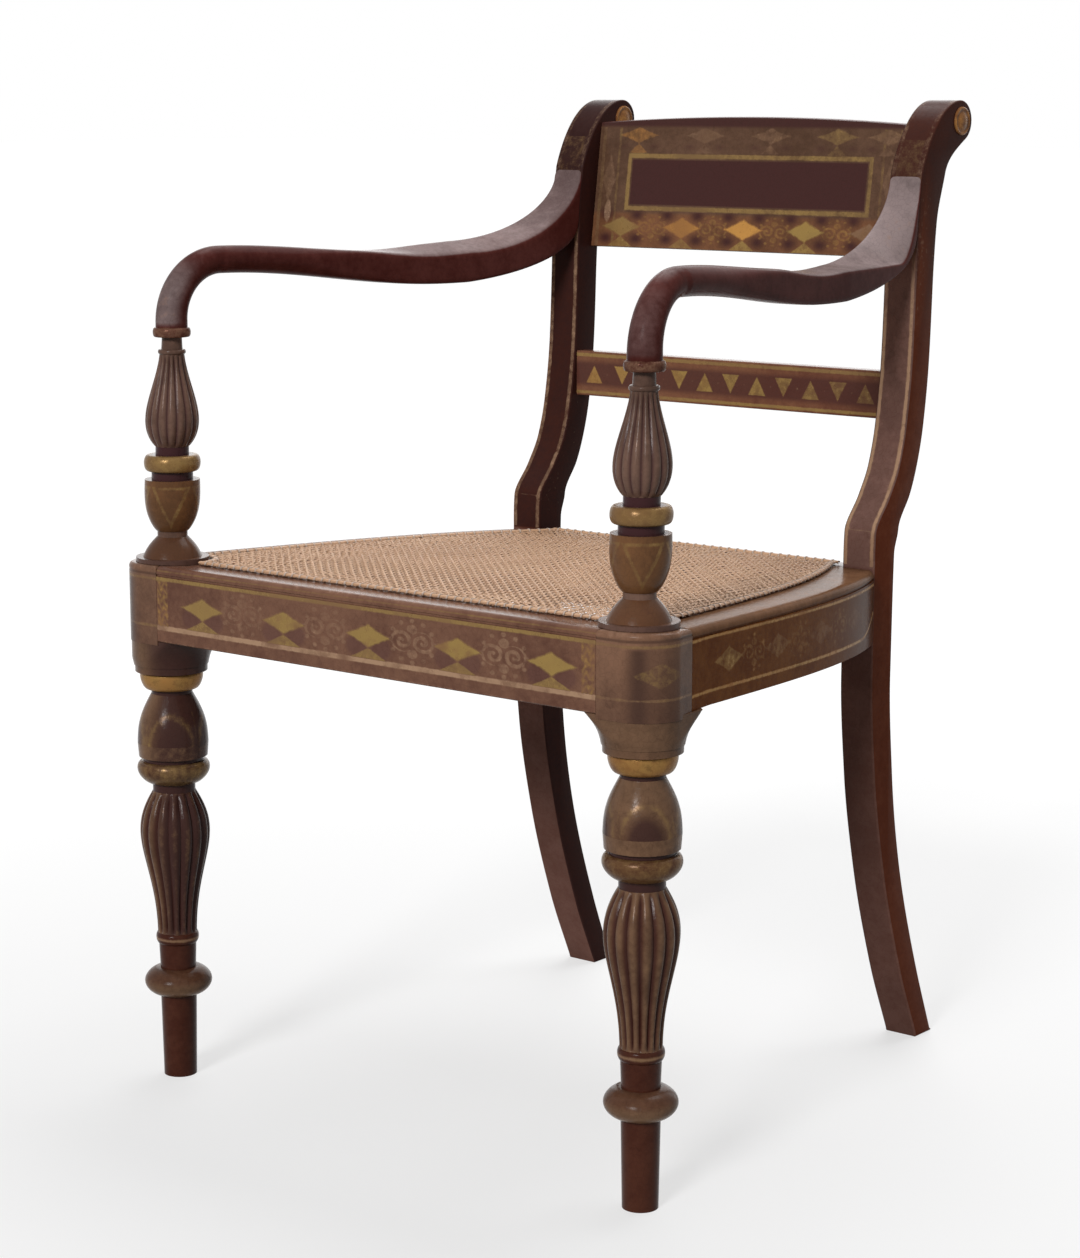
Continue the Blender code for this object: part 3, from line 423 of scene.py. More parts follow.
def leg_block(side):
    """The corner block: its plan, a square with a quarter-round outer corner, carried up to the seat."""
    corner = np.radians(np.linspace(-90, 0, 25))
    back_outer = seat_side(BLOCK_BACK) - LEG_X
    plan = np.concatenate([
        pairs(np.linspace(-BLOCK_IN, 0, 20)[:-1], -BLOCK_OUT),
        BLOCK_OUT * pairs(np.cos(corner), np.sin(corner)),
        np.linspace((BLOCK_OUT, 0), (back_outer, BLOCK_BACK), 20)[1:],
        np.linspace((back_outer, BLOCK_BACK), (-BLOCK_IN, BLOCK_BACK), 12)[1:],
        np.linspace((-BLOCK_IN, BLOCK_BACK), (-BLOCK_IN, -BLOCK_OUT), 12)[1:-1],
    ])
    arc = np.linspace(0, np.pi / 2, 9)
    rise = np.concatenate([np.linspace(0, 1, BLOCK_STEPS + 1)[:-1], np.ones(9)])[:, None]
    ease = BLOCK_EASE * np.concatenate([np.zeros(BLOCK_STEPS), 1 - np.cos(arc)])[:, None]
    sink = BLOCK_EASE * np.concatenate([np.ones(BLOCK_STEPS), 1 - np.sin(arc)])[:, None]
    middle = plan.mean(axis=0)
    spread = np.linalg.norm(plan - middle, axis=1)[None, :]
    x = plan[:, 0] + (middle[0] - plan[:, 0]) * ease / spread
    depth = plan[:, 1] + (middle[1] - plan[:, 1]) * ease / spread
    z = BLOCK_FOOT + (seat_z(depth) - sink - BLOCK_FOOT) * rise
    z = np.where(rise < 1, z, seat_z(depth) - sink)
    height = (z - RAIL_BOTTOM) * 1000
    round_to = np.degrees(np.arctan2(depth, x))
    diamond = lozenge(np.radians(round_to + 30) * BLOCK_OUT * 1000, height - 32, 24, 10.5)
    lower = line(height - 13.5, 2.8) - 0.5 * np.exp(-(((round_to + 62) / 14) ** 2))
    strokes = [(lower, 0.5, 0.2), (line(height - 54, 3.0), 0.55, 0.27), (diamond, 0.16, 0.38)]
    leaf, tone = painted(z.shape, *strokes)
    # Painted shade, below the groove: darker round the middle of the rounded corner and towards its outer
    # side. A dark line of painted shade also runs in the groove.
    block_shade = 0.75 * np.exp(-(((round_to + 60) / 17) ** 2)) + 0.35 * eased((round_to + 50) / 30)
    block_shade = block_shade * (depth < 0) * eased((56 - height) / 6) + 0.6 * eased(line(height - 58, 4) / 1.5)
    groove = np.abs(height - 58.5) < 0.8
    x = x * np.where(groove, 0.985, 1.0)
    grid = placed(side * (LEG_X + x), depth, z)
    fall = 0.25 + 0.6 * np.clip(height / 60, 0, 1)
    marks = {"gilt": leaf, "tone": tone, "ink": np.clip(block_shade, 0, 0.8), "fade": fall}
    return grid, {**marks, "wear": np.clip((height - 57) / 9, 0, 0.45)}


bronzed_leg = japan(
    "bronzed_leg",
    (0.050, 0.012, 0.006),
    (0.080, 0.025, 0.014),
    ink=(0.050, 0.020, 0.017),
    faded_and_sheen=(0.160, 0.088, 0.050),
)
block_japan = japan(
    "block_japan",
    (0.105, 0.050, 0.032),
    (0.170, 0.088, 0.054),
    ink=(0.070, 0.034, 0.024),
    faded_and_sheen=(0.215, 0.111, 0.067),
)
# The left leg takes far more painted shade on its inner side than the right.
for label, side, painted_inner_shade in (("left", -1, 0.8), ("right", 1, 0.2)):
    parts = [leg_shaft(side, painted_inner_shade), leg_block(side)]
    leg = skin(f"turned_leg_{label}", parts, bronzed_leg, block_japan)
    fit(leg, f"front_leg_{label}")

# Front seat rail: a straight plank tenoned between the leg blocks, its top edge a quarter-round
# nosing over a quirk. The face is japanned and gilt with lozenges between rosettes, by brush.
RAIL_END = 0.2342
RAIL_THICK = 0.048
RAIL_STEPS = 540
RAIL_FACE = 76
NOSING = 0.006
QUIRK = 0.0012
LOZENGE_PITCH = 93.0


def triangle(u, v, half, tall):
    """Depth inside a triangle standing on its base, half wide either side: from its base and slopes."""
    return np.minimum(v, (half * (1 - v / tall) - np.abs(u)) * tall / math.hypot(half, tall))


def rosette(u, v, size):
    """Depth inside two facing scrolls, spirals of even pitch, with buds above and below and dots round."""
    u = u / 1.4
    bead = (np.arctan2(v, u) + np.pi / 12) % (np.pi / 6) - np.pi / 12
    far = np.hypot(u, v)
    marks = [0.11 * size - np.hypot(far * np.cos(bead) - 0.92 * size, far * np.sin(bead))]
    marks.append(0.22 * size - np.hypot(u, np.abs(v) - 0.55 * size))
    for way in (-1, 1):
        across = way * u - 0.42 * size
        r = np.hypot(across, v)
        coil = (r / (0.30 * size) - way * np.arctan2(v, across) / (2 * np.pi)) % 1 - 0.5
        marks.append(np.minimum(line(coil * 0.30 * size, 0.19 * size), 0.50 * size - r))
    return np.maximum.reduce(marks)


def front_rail_skin():
    """The rail's section, up the face, over the nosing and down the back, carried along X."""
    lip = seat_z(-BLOCK_OUT + NOSING) - NOSING
    face = np.linspace(RAIL_BOTTOM + 0.0008, lip - 2 * QUIRK, RAIL_FACE)
    turn = np.radians(np.linspace(0, 90, 9))
    back = RAIL_THICK - BLOCK_OUT
    top = np.linspace(-BLOCK_OUT + NOSING, back, 12)[1:]
    section = np.concatenate([
        [(-BLOCK_OUT + 0.0008, RAIL_BOTTOM)],
        pairs(-BLOCK_OUT, face),
        [(-BLOCK_OUT + QUIRK, lip - 1.6 * QUIRK), (-BLOCK_OUT + QUIRK, lip - 0.4 * QUIRK)],
        pairs(-BLOCK_OUT + NOSING * (1 - np.cos(turn)), lip + NOSING * np.sin(turn)),
        pairs(top, seat_z(top)),
        [(back, RAIL_BOTTOM + 0.03), (back, RAIL_BOTTOM), (back - 0.02, RAIL_BOTTOM)],
    ])
    x = np.linspace(-RAIL_END, RAIL_END, RAIL_STEPS)[:, None]
    d, z = section[None, :, 0], section[None, :, 1]
    u, v = x * 1000, (z - RAIL_BOTTOM) * 1000
    strokes = [(line(v - 12.5, 5.0), 1.0, 0.02), (line(v - 54.5, 4.2), 0.85, 0.4)]
    shade = 0.0
    for k, hue in zip(range(-2, 3), (0.42, 0.5, 0.48, 0.52, 0.5)):
        wave = u - 6 - LOZENGE_PITCH * k
        strokes.append((lozenge(wave, v - 33.0, 27, 10.5), FULL, hue))
        strokes.append((triangle(wave, v - 13.5, 22, 10), 0.6, 0.42))
        flank = 1 - np.hypot((np.abs(wave) - 13) / 15, (v - 24) / 12)
        shade = np.maximum(shade, np.clip(1.1 * flank, 0, 0.42))
        if k < 2:
            scrolls = rosette(wave - LOZENGE_PITCH / 2, v - 33.5, 18)
            strokes.append((scrolls, 0.30 + 0.04 * k, 0.03))
    for way in (-1, 1):
        band = way * u - 227
        vein = np.sin(v * 0.7 + 1.3 * np.sin(band * 0.9)) * np.cos(band * 0.6 + 1.1 * np.sin(v * 0.5))
        strip = np.minimum(line(band, 13), np.minimum(v - 13, 56 - v))
        strokes.append((strip, 0.25 + 0.3 * vein, 0.6))
    leaf, tone = painted((RAIL_STEPS, len(section)), *strokes)
    shown = (d <= -BLOCK_OUT + 1e-6) & (z < lip)
    leaf = np.where(shown, leaf, np.where(np.abs(z - lip - 0.003) < 0.0008, 0.3, BARE))
    shade = np.where(shown, shade, 0.0)
    exposed = 0.42 * np.clip((z - lip) / NOSING, 0, 1) * (d < -BLOCK_OUT + 0.012)
    exposed = exposed + 0.5 * (z < RAIL_BOTTOM + 0.0018) * (d < -BLOCK_OUT + 0.001)
    return placed(x, d, z), {"gilt": leaf, "tone": tone, "ink": shade, "wear": exposed}


gilt_rail = japan("gilt_rail", (0.124, 0.053, 0.034), (0.205, 0.099, 0.061), ink=(0.084, 0.032, 0.036))
fit(skin("seat_rail_front", [front_rail_skin()], gilt_rail), "front_rail")

# Side seat rails: sawn to a bow in plan, so that the frame narrows to the posts, and worked along
# the top with the same nosing. Their scrolls have almost worn off.
SIDES = (("left", -1), ("right", 1))
SIDE_INSIDE = 0.045
SIDE_FACE = 66
SIDE_LEVEL = 0.0453
SIDE_GAP = 0.0003


def side_rail_skin(side):
    """The side rail's section, set in from the bowed outer edge, carried along the depth."""
    turn = np.radians(np.linspace(0, 90, 9))
    d = np.linspace(BLOCK_BACK + SIDE_GAP, SEAT_DEPTH - SIDE_GAP, 420)[:, None]
    top = seat_z(d)
    lip = top - NOSING
    bottom = RAIL_BOTTOM - SEAT_DROP * np.maximum(0, d - SIDE_LEVEL) / (SEAT_DEPTH - SIDE_LEVEL)
    face_z = bottom + (lip - 2 * QUIRK - bottom) * np.linspace(0.0, 1.0, SIDE_FACE)
    flat_in = np.linspace(NOSING, SIDE_INSIDE, 8)[1:]
    nose_in, nose_z = NOSING * (1 - np.cos(turn)), lip + NOSING * np.sin(turn)
    inset = np.concatenate([np.zeros(SIDE_FACE), [QUIRK, QUIRK], nose_in, flat_in, [SIDE_INSIDE]])
    levels = [face_z, lip - 1.6 * QUIRK, lip - 0.4 * QUIRK, nose_z, top + 0 * flat_in, bottom]
    z = np.concatenate(levels, axis=1)
    u, v = d * 1000, (z - bottom) * 1000
    end = np.clip((u - 352) / 46, 0, 1) ** 2
    strokes = [(line(v - 11 - 16 * end, 3.2), 0.8, 0.66), (line(v - 52.5, 3.0), 0.8, 0.66)]
    for k, hue in enumerate((0.5, 0.3, 0.2, 0.66)):
        wave = u - 78 - 84 * k
        strokes.append((lozenge(wave, v - 32, 25, 10.5), 0.32 - 0.08 * k, hue))
        strokes.append((rosette(wave - 42, v - 32, 15), 0.22 - 0.06 * k, 0.62))
    leaf, tone = painted(v.shape, *strokes)
    columns = np.arange(len(inset))[None, :]
    leaf = np.where(columns < SIDE_FACE, leaf, BARE)
    upper = columns >= SIDE_FACE + 2
    chafe = 0.36 * (upper & (columns < len(inset) - 1)) + 0.5 * (end > 0.8) * (np.abs(v - 26) < 4)
    # Painted shade: the face darkens towards the back, where the rail bows in away from the light.
    rail_rear_shade = np.where(upper, 0.0, 0.7 * eased((u - 230) / 150))
    bleach = np.where(upper, 0.9, 0.0)
    marks = {"gilt": leaf, "tone": tone, "ink": rail_rear_shade, "fade": bleach, "wear": chafe}
    return placed(side * (seat_side(d) - inset), d, z), marks


brown_rail = japan(
    "brown_rail",
    (0.152, 0.043, 0.009),
    (0.230, 0.083, 0.020),
    ink=(0.070, 0.018, 0.004),
    faded_and_sheen=(0.180, 0.088, 0.045),
    sheen=0.01,
)
for label, side in SIDES:
    rail = skin(f"seat_rail_{label}", [side_rail_skin(side)], brown_rail)
    fit(rail, f"side_rail_{label}")

# Back seat rail: a plain squared bar tenoned between the posts behind the cane. Its top is planed to
# the fall of the seat, and it is japanned all over without ornament.
BAR_REACH = 0.1692
BAR_EASE = 0.0015
BAR_FACE = 50
BACK_RAIL_FRONT = 0.4023
BACK_RAIL_BOTTOM = 0.3795
BACK_RAIL_THICK = 0.028


def bar_section(thick, tall):
    """Depth and height round a squared bar with eased edges: up its front, over and down its back."""
    arc = np.linspace(0, np.pi / 2, 5)[1:]
    over_d, over_z = BAR_EASE * (1 - np.cos(arc)), tall - BAR_EASE * (1 - np.sin(arc))
    face = np.linspace(BAR_EASE, tall - BAR_EASE, BAR_FACE)
    rear = np.linspace(tall - BAR_EASE, BAR_EASE, 6)
    d = [np.zeros(BAR_FACE), over_d, thick - over_d[::-1], np.full(6, thick), thick - over_d, over_d[::-1]]
    v = [face, over_z, over_z[::-1], rear, tall - over_z, (tall - over_z)[::-1]]
    return np.concatenate(d)[None, :], np.concatenate(v)[None, :]


def back_rail_skin():
    """The bar's section carried along X, its top planed to the fall of the seat."""
    x = np.linspace(-BAR_REACH, BAR_REACH, 120)[:, None]
    tall = seat_z(BACK_RAIL_FRONT) - BACK_RAIL_BOTTOM
    d, v = bar_section(BACK_RAIL_THICK, tall)
    z = BACK_RAIL_BOTTOM + v - SEAT_FALL * d * v / tall
    flat = (d == 0) | (d == BACK_RAIL_THICK)
    return placed(x, BACK_RAIL_FRONT + d, z), {"gilt": BARE, "wear": np.where(flat, 0.0, 0.3)}


plain_japan = japan("plain_japan", (0.062, 0.020, 0.014), (0.095, 0.034, 0.024))
fit(skin("seat_rail_back", [back_rail_skin()], plain_japan), "back_rail")

# Back posts: each sawn from one plank, sabre leg below, raked back and rolled over into a scroll at
# the top. The front face is lined in gold along both edges, with a separate box at the knee.
POST_INNER = 0.1695
POST_EASE = 0.0016
POST_STEPS = 260
OVER_STEPS = 36
POST_ROWS = np.array((
    (0.0000, 0.0885, 0.0255),
    (0.0700, 0.0575, 0.0280),
    (0.1670, 0.0260, 0.0280),
    (0.2585, 0.0075, 0.0303),
    (0.3460, 0.0000, 0.0315),
    (0.4550, 0.0000, 0.0335),
    (0.4760, 0.0010, 0.0385),
    (0.5050, 0.0220, 0.0355),
    (0.5300, 0.0370, 0.0310),
    (0.5650, 0.0470, 0.0300),
    (0.6200, 0.0545, 0.0295),
    (0.6800, 0.0575, 0.0295),
    (0.7400, 0.0595, 0.0320),
    (0.7830, 0.0645, 0.0395),
))
BACK_TOP = 0.845
SCROLL_RADIUS = 0.018
SCROLL_DEPTH = 0.530
SCROLL_Z = BACK_TOP - SCROLL_RADIUS


def through(column, at):
    """Smooth cubic through a column of the post's rows, with no overshoot."""
    keys, values = POST_ROWS[:, 0], POST_ROWS[:, column]
    grades = np.diff(values) / np.diff(keys)
    before, after = grades[:-1], grades[1:]
    same = before * after > 0
    inner = np.where(same, 2 * before * after / np.where(same, before + after, 1.0), 0.0)
    slopes = np.concatenate([grades[:1], inner, grades[-1:]])
    k = np.clip(np.searchsorted(keys, at, side="right") - 1, 0, len(keys) - 2)
    width = keys[k + 1] - keys[k]
    t = (at - keys[k]) / width
    rise = values[k + 1] - values[k]
    start, end = slopes[k] * width, slopes[k + 1] * width
    return values[k] + t * (start + t * (3 * rise - 2 * start - end + t * (start + end - 2 * rise)))


def post_front(z):
    """Depth of a post's front edge at a height."""
    return SEAT_DEPTH + through(1, z)


def post_rear(z):
    """Depth of a post's rear edge at a height."""
    return post_front(z) + through(2, z)


def bezier(p0, p1, p2, p3, steps):
    """Points along a cubic curve with these four controls, without its first."""
    t = np.linspace(0, 1, steps + 1)[1:, None]
    p0, p1, p2, p3 = map(np.array, (p0, p1, p2, p3))
    return p0 * (1 - t) ** 3 + 3 * p1 * t * (1 - t) ** 2 + 3 * p2 * t**2 * (1 - t) + p3 * t**3


def post_outline():
    """Side view of a post: up its front edge, over and round the scroll, and down its rear edge."""
    z = np.linspace(0, POST_ROWS[-1, 0], POST_STEPS)
    front = pairs(post_front(z), z)
    rear = pairs(post_rear(z), z)[::-1]
    rise = BACK_TOP - z[-1]
    end = math.radians(-60)
    leave = front[-1] + rise * np.array((0.15, 0.43))
    crown = (SCROLL_DEPTH - 1.8 * SCROLL_RADIUS, BACK_TOP)
    over = bezier(front[-1], leave, crown, (SCROLL_DEPTH, BACK_TOP), OVER_STEPS)
    a = np.linspace(math.pi / 2, end, 30)[1:]
    roll = (SCROLL_DEPTH, SCROLL_Z) + SCROLL_RADIUS * pairs(np.cos(a), np.sin(a))
    curl = roll[-1] + 0.8 * SCROLL_RADIUS * np.array([math.sin(end), -math.cos(end)])
    under = bezier(roll[-1], curl, rear[0] + rise * np.array((0.07, 0.21)), rear[0], 20)
    return np.concatenate([front, over, roll, under, rear[1:]])


def square_to(ahead):
    """Unit steps square to a heading in a plane, to its right."""
    return pairs(ahead[:, 1], -ahead[:, 0]) / np.linalg.norm(ahead, axis=1)[:, None]


def post_skin(side, painted_front_light, lining):
    """The outline carried across the post's width, drawn in along its normals at the eased edges.

    Painted front light is how far the front face above the seat is paled by painted sheen, the rest going
    to painted shade, and lining is the depth of the gold lines that are left along its edges.
    """
    outline = post_outline()
    inward = square_to(np.roll(outline, -1, axis=0) - np.roll(outline, 1, axis=0))
    arc = np.linspace(0, math.pi / 2, 5)
    width = POST_OUTER - POST_INNER
    flat = np.linspace(POST_EASE, width - POST_EASE, 28)[1:-1]
    rim, drawn = POST_EASE * (1 - np.sin(arc)), POST_EASE * (1 - np.cos(arc))
    across = np.concatenate([rim[::-1], flat, width - rim])[:, None]
    inset = np.concatenate([drawn[::-1], 0 * flat, drawn])[:, None]
    shift = outline[None] + inward[None] * inset[..., None]
    grid = placed(side * (POST_INNER + across), shift[..., 0], shift[..., 1])
    w, z, wide = across * 1000, outline[None, :, 1] * 1000, width * 1000
    sides = np.maximum(line(w - 3.0, 4.2), line(w - wide + 3.0, 4.2))
    knee = np.maximum(line(z - 478, 1.6), line(z - 455, 1.6))
    boxed = np.where((w > 2.7) & (w < wide - 2.7), knee, BARE)
    tablet = np.minimum(np.minimum(w - 5, wide - 5 - w), np.minimum(z - 748, 812 - z))
    strokes = [(sides, np.where(z < 735, lining, 0.08), 0.0), (boxed, lining * 0.6, 0.05)]
    leaf, tone = painted(grid.shape[:2], *strokes, (tablet, 0.1, 0.2))
    order = np.arange(len(outline))[None, :]
    ahead, above = order < POST_STEPS + OVER_STEPS, z > 446
    leaf = np.where(ahead & above, leaf, BARE)
    edge = 0.32 * (inset > 0) * np.where(ahead & above, 1.0, 0.8)
    # Painted light: the front faces are paled as painted sheen, the left post's front is inked as painted
    # shade, and both side faces are inked as painted shade, the outer one more towards the top.
    plane = inset < 0.8 * POST_EASE
    crown = eased((z - 680) / 70)
    pale = plane * ahead * np.where(above, painted_front_light + (1 - 1.65 * painted_front_light) * crown, 0.68)
    post_ink_and_shade = plane * ahead * np.where(above, 0.9 - 0.9 * painted_front_light + 0.7 * painted_front_light * crown, 0.32)
    post_ink_and_shade = post_ink_and_shade + 0.55 * plane * (order >= POST_STEPS + OVER_STEPS + 4)
    post_ink_and_shade = np.where(across < POST_EASE, 0.8, post_ink_and_shade)
    post_ink_and_shade = np.where(across > width - POST_EASE, 0.12 + 0.55 * eased((z - 620) / 120), post_ink_and_shade)
    return grid, {"gilt": leaf, "tone": tone, "ink": post_ink_and_shade, "fade": pale, "wear": edge}


# Its faded colour is the grey mauve of the painted sheen on the front faces.
post_japan = japan(
    "post_japan",
    (0.130, 0.028, 0.009),
    (0.186, 0.049, 0.020),
    ink=(0.030, 0.012, 0.011),
    faded_and_sheen=(0.215, 0.116, 0.093),
    sheen=0.02,
)
for label, side, painted_front_light, lining in (("left", -1, 0.15, 0.35), ("right", 1, 1.0, 1.0)):
    post = skin(f"scrolled_post_{label}", [post_skin(side, painted_front_light, lining)], post_japan)
    fit(post, f"back_post_{label}")

# Roundels: small bosses turned in wood and let into both ends of each scroll. They are gilded over a
# dark ground, and the gold has gone thin in the hollow.
ROUNDEL_RADIUS = 0.0125
ROUNDEL_ROWS = np.array((
    (-0.0020, 1.00, BARE),
    (0.0000, 1.00, 0.1),
    (0.0012, 0.98, 0.4),
    (0.0018, 0.90, 0.5),
    (0.0014, 0.80, 0.4),
    (0.0010, 0.72, 0.3),
    (0.0014, 0.62, 0.4),
    (0.0022, 0.45, 0.5),
    (0.0028, 0.24, 0.5),
    (0.0030, 0.04, 0.5),
))


def roundel_skin(face, way):
    """A boss turned about X, rim to dome, by rows of height, share of the radius and gilding."""
    height, share, leaf = ROUNDEL_ROWS.T[..., None]
    turn, r = circle(40), share * ROUNDEL_RADIUS
    grid = placed(face + way * height, SCROLL_DEPTH + r * np.cos(turn), SCROLL_Z + r * np.sin(turn))
    return grid, {"gilt": leaf, "tone": 0.76, "wear": 0.1}


roundel_gilt = japan("roundel_gilt", (0.110, 0.036, 0.016), (0.180, 0.070, 0.028))
for label, side in SIDES:
    for end, face, way in (("inner", POST_INNER, -side), ("outer", POST_OUTER, side)):
        boss = skin(f"roundel_{label}_{end}", [roundel_skin(side * face, way)], roundel_gilt)
        fit(boss, f"scroll_roundel_{label}_{end}")

# Crest tablet: a thin board tenoned between the posts, leaning back, hollow in plan and arched on
# top. A plain maroon panel framed in gold sits between two rows of lozenges.
CREST_BOTTOM = 0.708
CREST_TOP = 0.8245
CREST_FRONT = SEAT_DEPTH + 0.0775
CREST_ARCH = 0.0055
CREST_HOLLOW = 0.005
CREST_LEAN = 0.14
CREST_THICK = 0.014
CREST_EASE = 0.0012
CREST_FACE, CREST_ARC, CREST_REAR = 132, 7, 14


def crest_skin():
    """The tablet's section carried along X: front face, eased top, back face and eased foot."""
    x = np.linspace(-BAR_REACH, BAR_REACH, 400)[:, None]
    across = 1 - (np.abs(x) / POST_INNER) ** 2
    arc = np.linspace(0, np.pi, CREST_ARC + 2)[1:-1]
    face, rear = np.linspace(0, 1, CREST_FACE), np.linspace(1, 0, CREST_REAR)
    up = np.concatenate([face, np.ones(CREST_ARC), rear, np.zeros(CREST_ARC)])
    back = np.concatenate([0 * face, (1 - np.cos(arc)) / 2, 0 * rear + 1, (1 + np.cos(arc)) / 2])
    proud = CREST_EASE * np.concatenate([0 * face, np.sin(arc), 0 * rear, -np.sin(arc)])
    low, high = CREST_BOTTOM + CREST_EASE, CREST_TOP + CREST_ARCH * across - CREST_EASE
    z = low + (high - low) * up + proud
    d = CREST_FRONT + CREST_HOLLOW * across + CREST_LEAN * (z - CREST_BOTTOM) + CREST_THICK * back
    u, v = x * 1000, z * 1000
    border = np.maximum(np.abs(u) - 131, np.abs(v - 769.2) - 21.8)
    strokes = [(line(border - 2.4, 4.8), 0.75 - u / 600, 0.36)]
    blot = 0.0
    for middle, hue in ((-125, 0.75), (-51, 0.12), (22, 0.15), (95, 0.3), (150, 0.14)):
        beside = u - middle
        strokes.append((lozenge(beside, v - 812.5, 24, 8.0), 0.42, hue))
        strokes.append((triangle(beside, v - 796, 11, 9), 0.3, hue))
        blot = np.maximum(blot, 0.5 - 0.5 * np.hypot((np.abs(beside) - 17) / 13, (v - 802) / 6))
    for middle, hue in ((-137, 0.36), (-68.6, 0.85), (0, 0.98), (68.6, 0.5), (137, 0.16)):
        beside = u - middle
        strokes.append((lozenge(beside, v - 728, 24, 10.5), FULL, hue))
        strokes.append((triangle(beside, v - 709, 15, 10), 0.5, 0.45))
        strokes.append((rosette(beside - 34.3, v - 727, 13), 0.3, 0.64))
        spread = np.hypot((np.abs(beside) - 17) / 12, (np.abs(v - 728) - 11) / 8)
        blot = np.maximum(blot, 0.95 - 0.8 * spread)
    for way in (-1, 1):
        strokes.append((line(way * u - 146, 3.0), 0.3, 0.3))
        strokes.append((line(way * u - 164, 4.0), 0.35, 0.2))
        strokes.append((lozenge(v - 772, way * u - 155, 26, 8), 0.35, 0.12))
    strokes.append((3.6 - np.hypot((u + 154) / 1.1, (v - 742) / 3), 0.42, 0.0))
    strokes.append((line(v - 708.8, 1.4), FULL, 0.45))
    leaf, tone = painted(z.shape, *strokes)
    columns = np.arange(len(up))[None, :]
    rear_from, rear_to = CREST_FACE + CREST_ARC, CREST_FACE + CREST_ARC + CREST_REAR
    front, upper = columns < CREST_FACE, columns < CREST_FACE + 4
    leaf = np.where(front & (v < 820), leaf, BARE)
    blot = np.maximum(blot, np.clip((v - 818) / 5, 0, 0.8))
    panel = np.maximum(np.clip(-border / 2, 0, 1), np.clip(blot, 0, 1) * (border > 5)) * upper
    edge = 0.30 * (~front & (columns < rear_from)) + 0.25 * ((columns >= rear_to) | (columns < 1))
    edge = edge - panel * upper
    panel = np.where((columns >= rear_from - 1) & (columns <= rear_to), 0.8, panel)
    warm = 0.75 * eased((744 - v) / 6) * front
    return placed(x, d, z), {"gilt": leaf, "tone": tone, "ink": panel, "fade": warm, "wear": edge}


crest_japan = japan(
    "crest_japan",
    (0.085, 0.042, 0.024),
    (0.140, 0.074, 0.045),
    ink=(0.062, 0.022, 0.020),
    faded_and_sheen=(0.185, 0.078, 0.036),
)
fit(skin("crest_tablet", [crest_skin()], crest_japan), "crest_rail")

# Tie rail: a straight bar between the posts at mid back, with a row of gilt triangles turned up and
# down by turns between two gold lines.
TIE_BOTTOM = 0.569
TIE_TOP = 0.611
TIE_FRONT = 0.4579
TIE_THICK = 0.016


def tie_skin():
    """The bar's section carried along X, its face gilt with triangles and its back inked."""
    x = np.linspace(-BAR_REACH, BAR_REACH, 360)[:, None]
    d, v = bar_section(TIE_THICK, TIE_TOP - TIE_BOTTOM)
    u, w = x * 1000, v * 1000
    left = np.clip(0.5 - u / 260, 0, 1)
    strokes = [(line(w - 38.6, 4.0), 0.9, 0.28 + 0.1 * left), (line(w - 3.4, 3.6), FULL, 0.38)]
    for k in range(11):
        wave = u + 148 - 33 * k + 4 * max(0, k - 3)
        mark = triangle(wave, 30 - w, 10, 18) if k % 2 else triangle(wave, w - 12, 10, 18)
        strokes.append((mark, 1.0 - 0.06 * k, 0.62 - 0.03 * k))
        strokes.append((1.2 - np.hypot(wave - 15, w - 21), 0.2, 0.1))
    leaf, tone = painted((len(x), v.shape[1]), *strokes)
    columns = np.arange(v.shape[1])[None, :]
    front = columns < BAR_FACE
    leaf = np.where(front, leaf, BARE)
    edge = 0.3 * (~front & (columns < BAR_FACE + 8))
    shade = np.where(front, 0.62 * eased(line(w - 21, 32) / 8), 0.85 * (d > TIE_THICK / 2))
    marks = {"gilt": leaf, "tone": tone, "ink": shade, "wear": edge}
    return placed(x, TIE_FRONT + d, TIE_BOTTOM + v), marks


tie_japan = japan("tie_japan", (0.140, 0.052, 0.031), (0.215, 0.094, 0.050), ink=(0.062, 0.020, 0.020))
fit(skin("tie_bar", [tie_skin()], tie_japan), "tie_rail")

# Arm supports: turned like the legs, a reeded vase over a gilt ring and a leaf-painted cup, doweled
# into the leg blocks below and the arms above. They lean back a little towards the top.
SUPPORT_X = 0.249
SUPPORT_TOP = 0.6483
SUPPORT_LEAN = 0.005
SUPPORT_GAP = 0.0003
SUPPORT_REED = 0.0016
SUPPORT_MOULDINGS = (
    (0.0035, 0.0310, 0.0310, 0.0, 0.5, 1.0, 4),
    (0.017, 0.0250, 0.0132, 0.0015, 0.5, 1.0, 14),
    (0.005, 0.0128, 0.0128, 0.0, 0.5, 1.0, 3),
    (0.044, 0.0135, 0.0234, 0.0047, 0.40, 1.0, 40),
    (0.007, 0.0176, 0.0176, 0.0, 0.5, 1.0, 4),
    (0.014, 0.0190, 0.0190, 0.0050, 0.5, 0.28, 20),
    (0.007, 0.0142, 0.0142, 0.0, 0.5, 1.0, 4),
    (0.078, 0.0145, 0.0105, 0.0094, 0.31, 1.5, 56),
    (0.004, 0.0106, 0.0106, 0.0012, 0.5, 0.5, 8),
    (0.010, 0.0090, 0.0085, 0.0, 0.5, 1.0, 4),
)
DISC, BELL, SUPPORT_CUP, SUPPORT_RING, SUPPORT_VASE, SUPPORT_LIP = 0, 1, 3, 5, 7, 8
SUPPORT_NECKS = (4, 6)


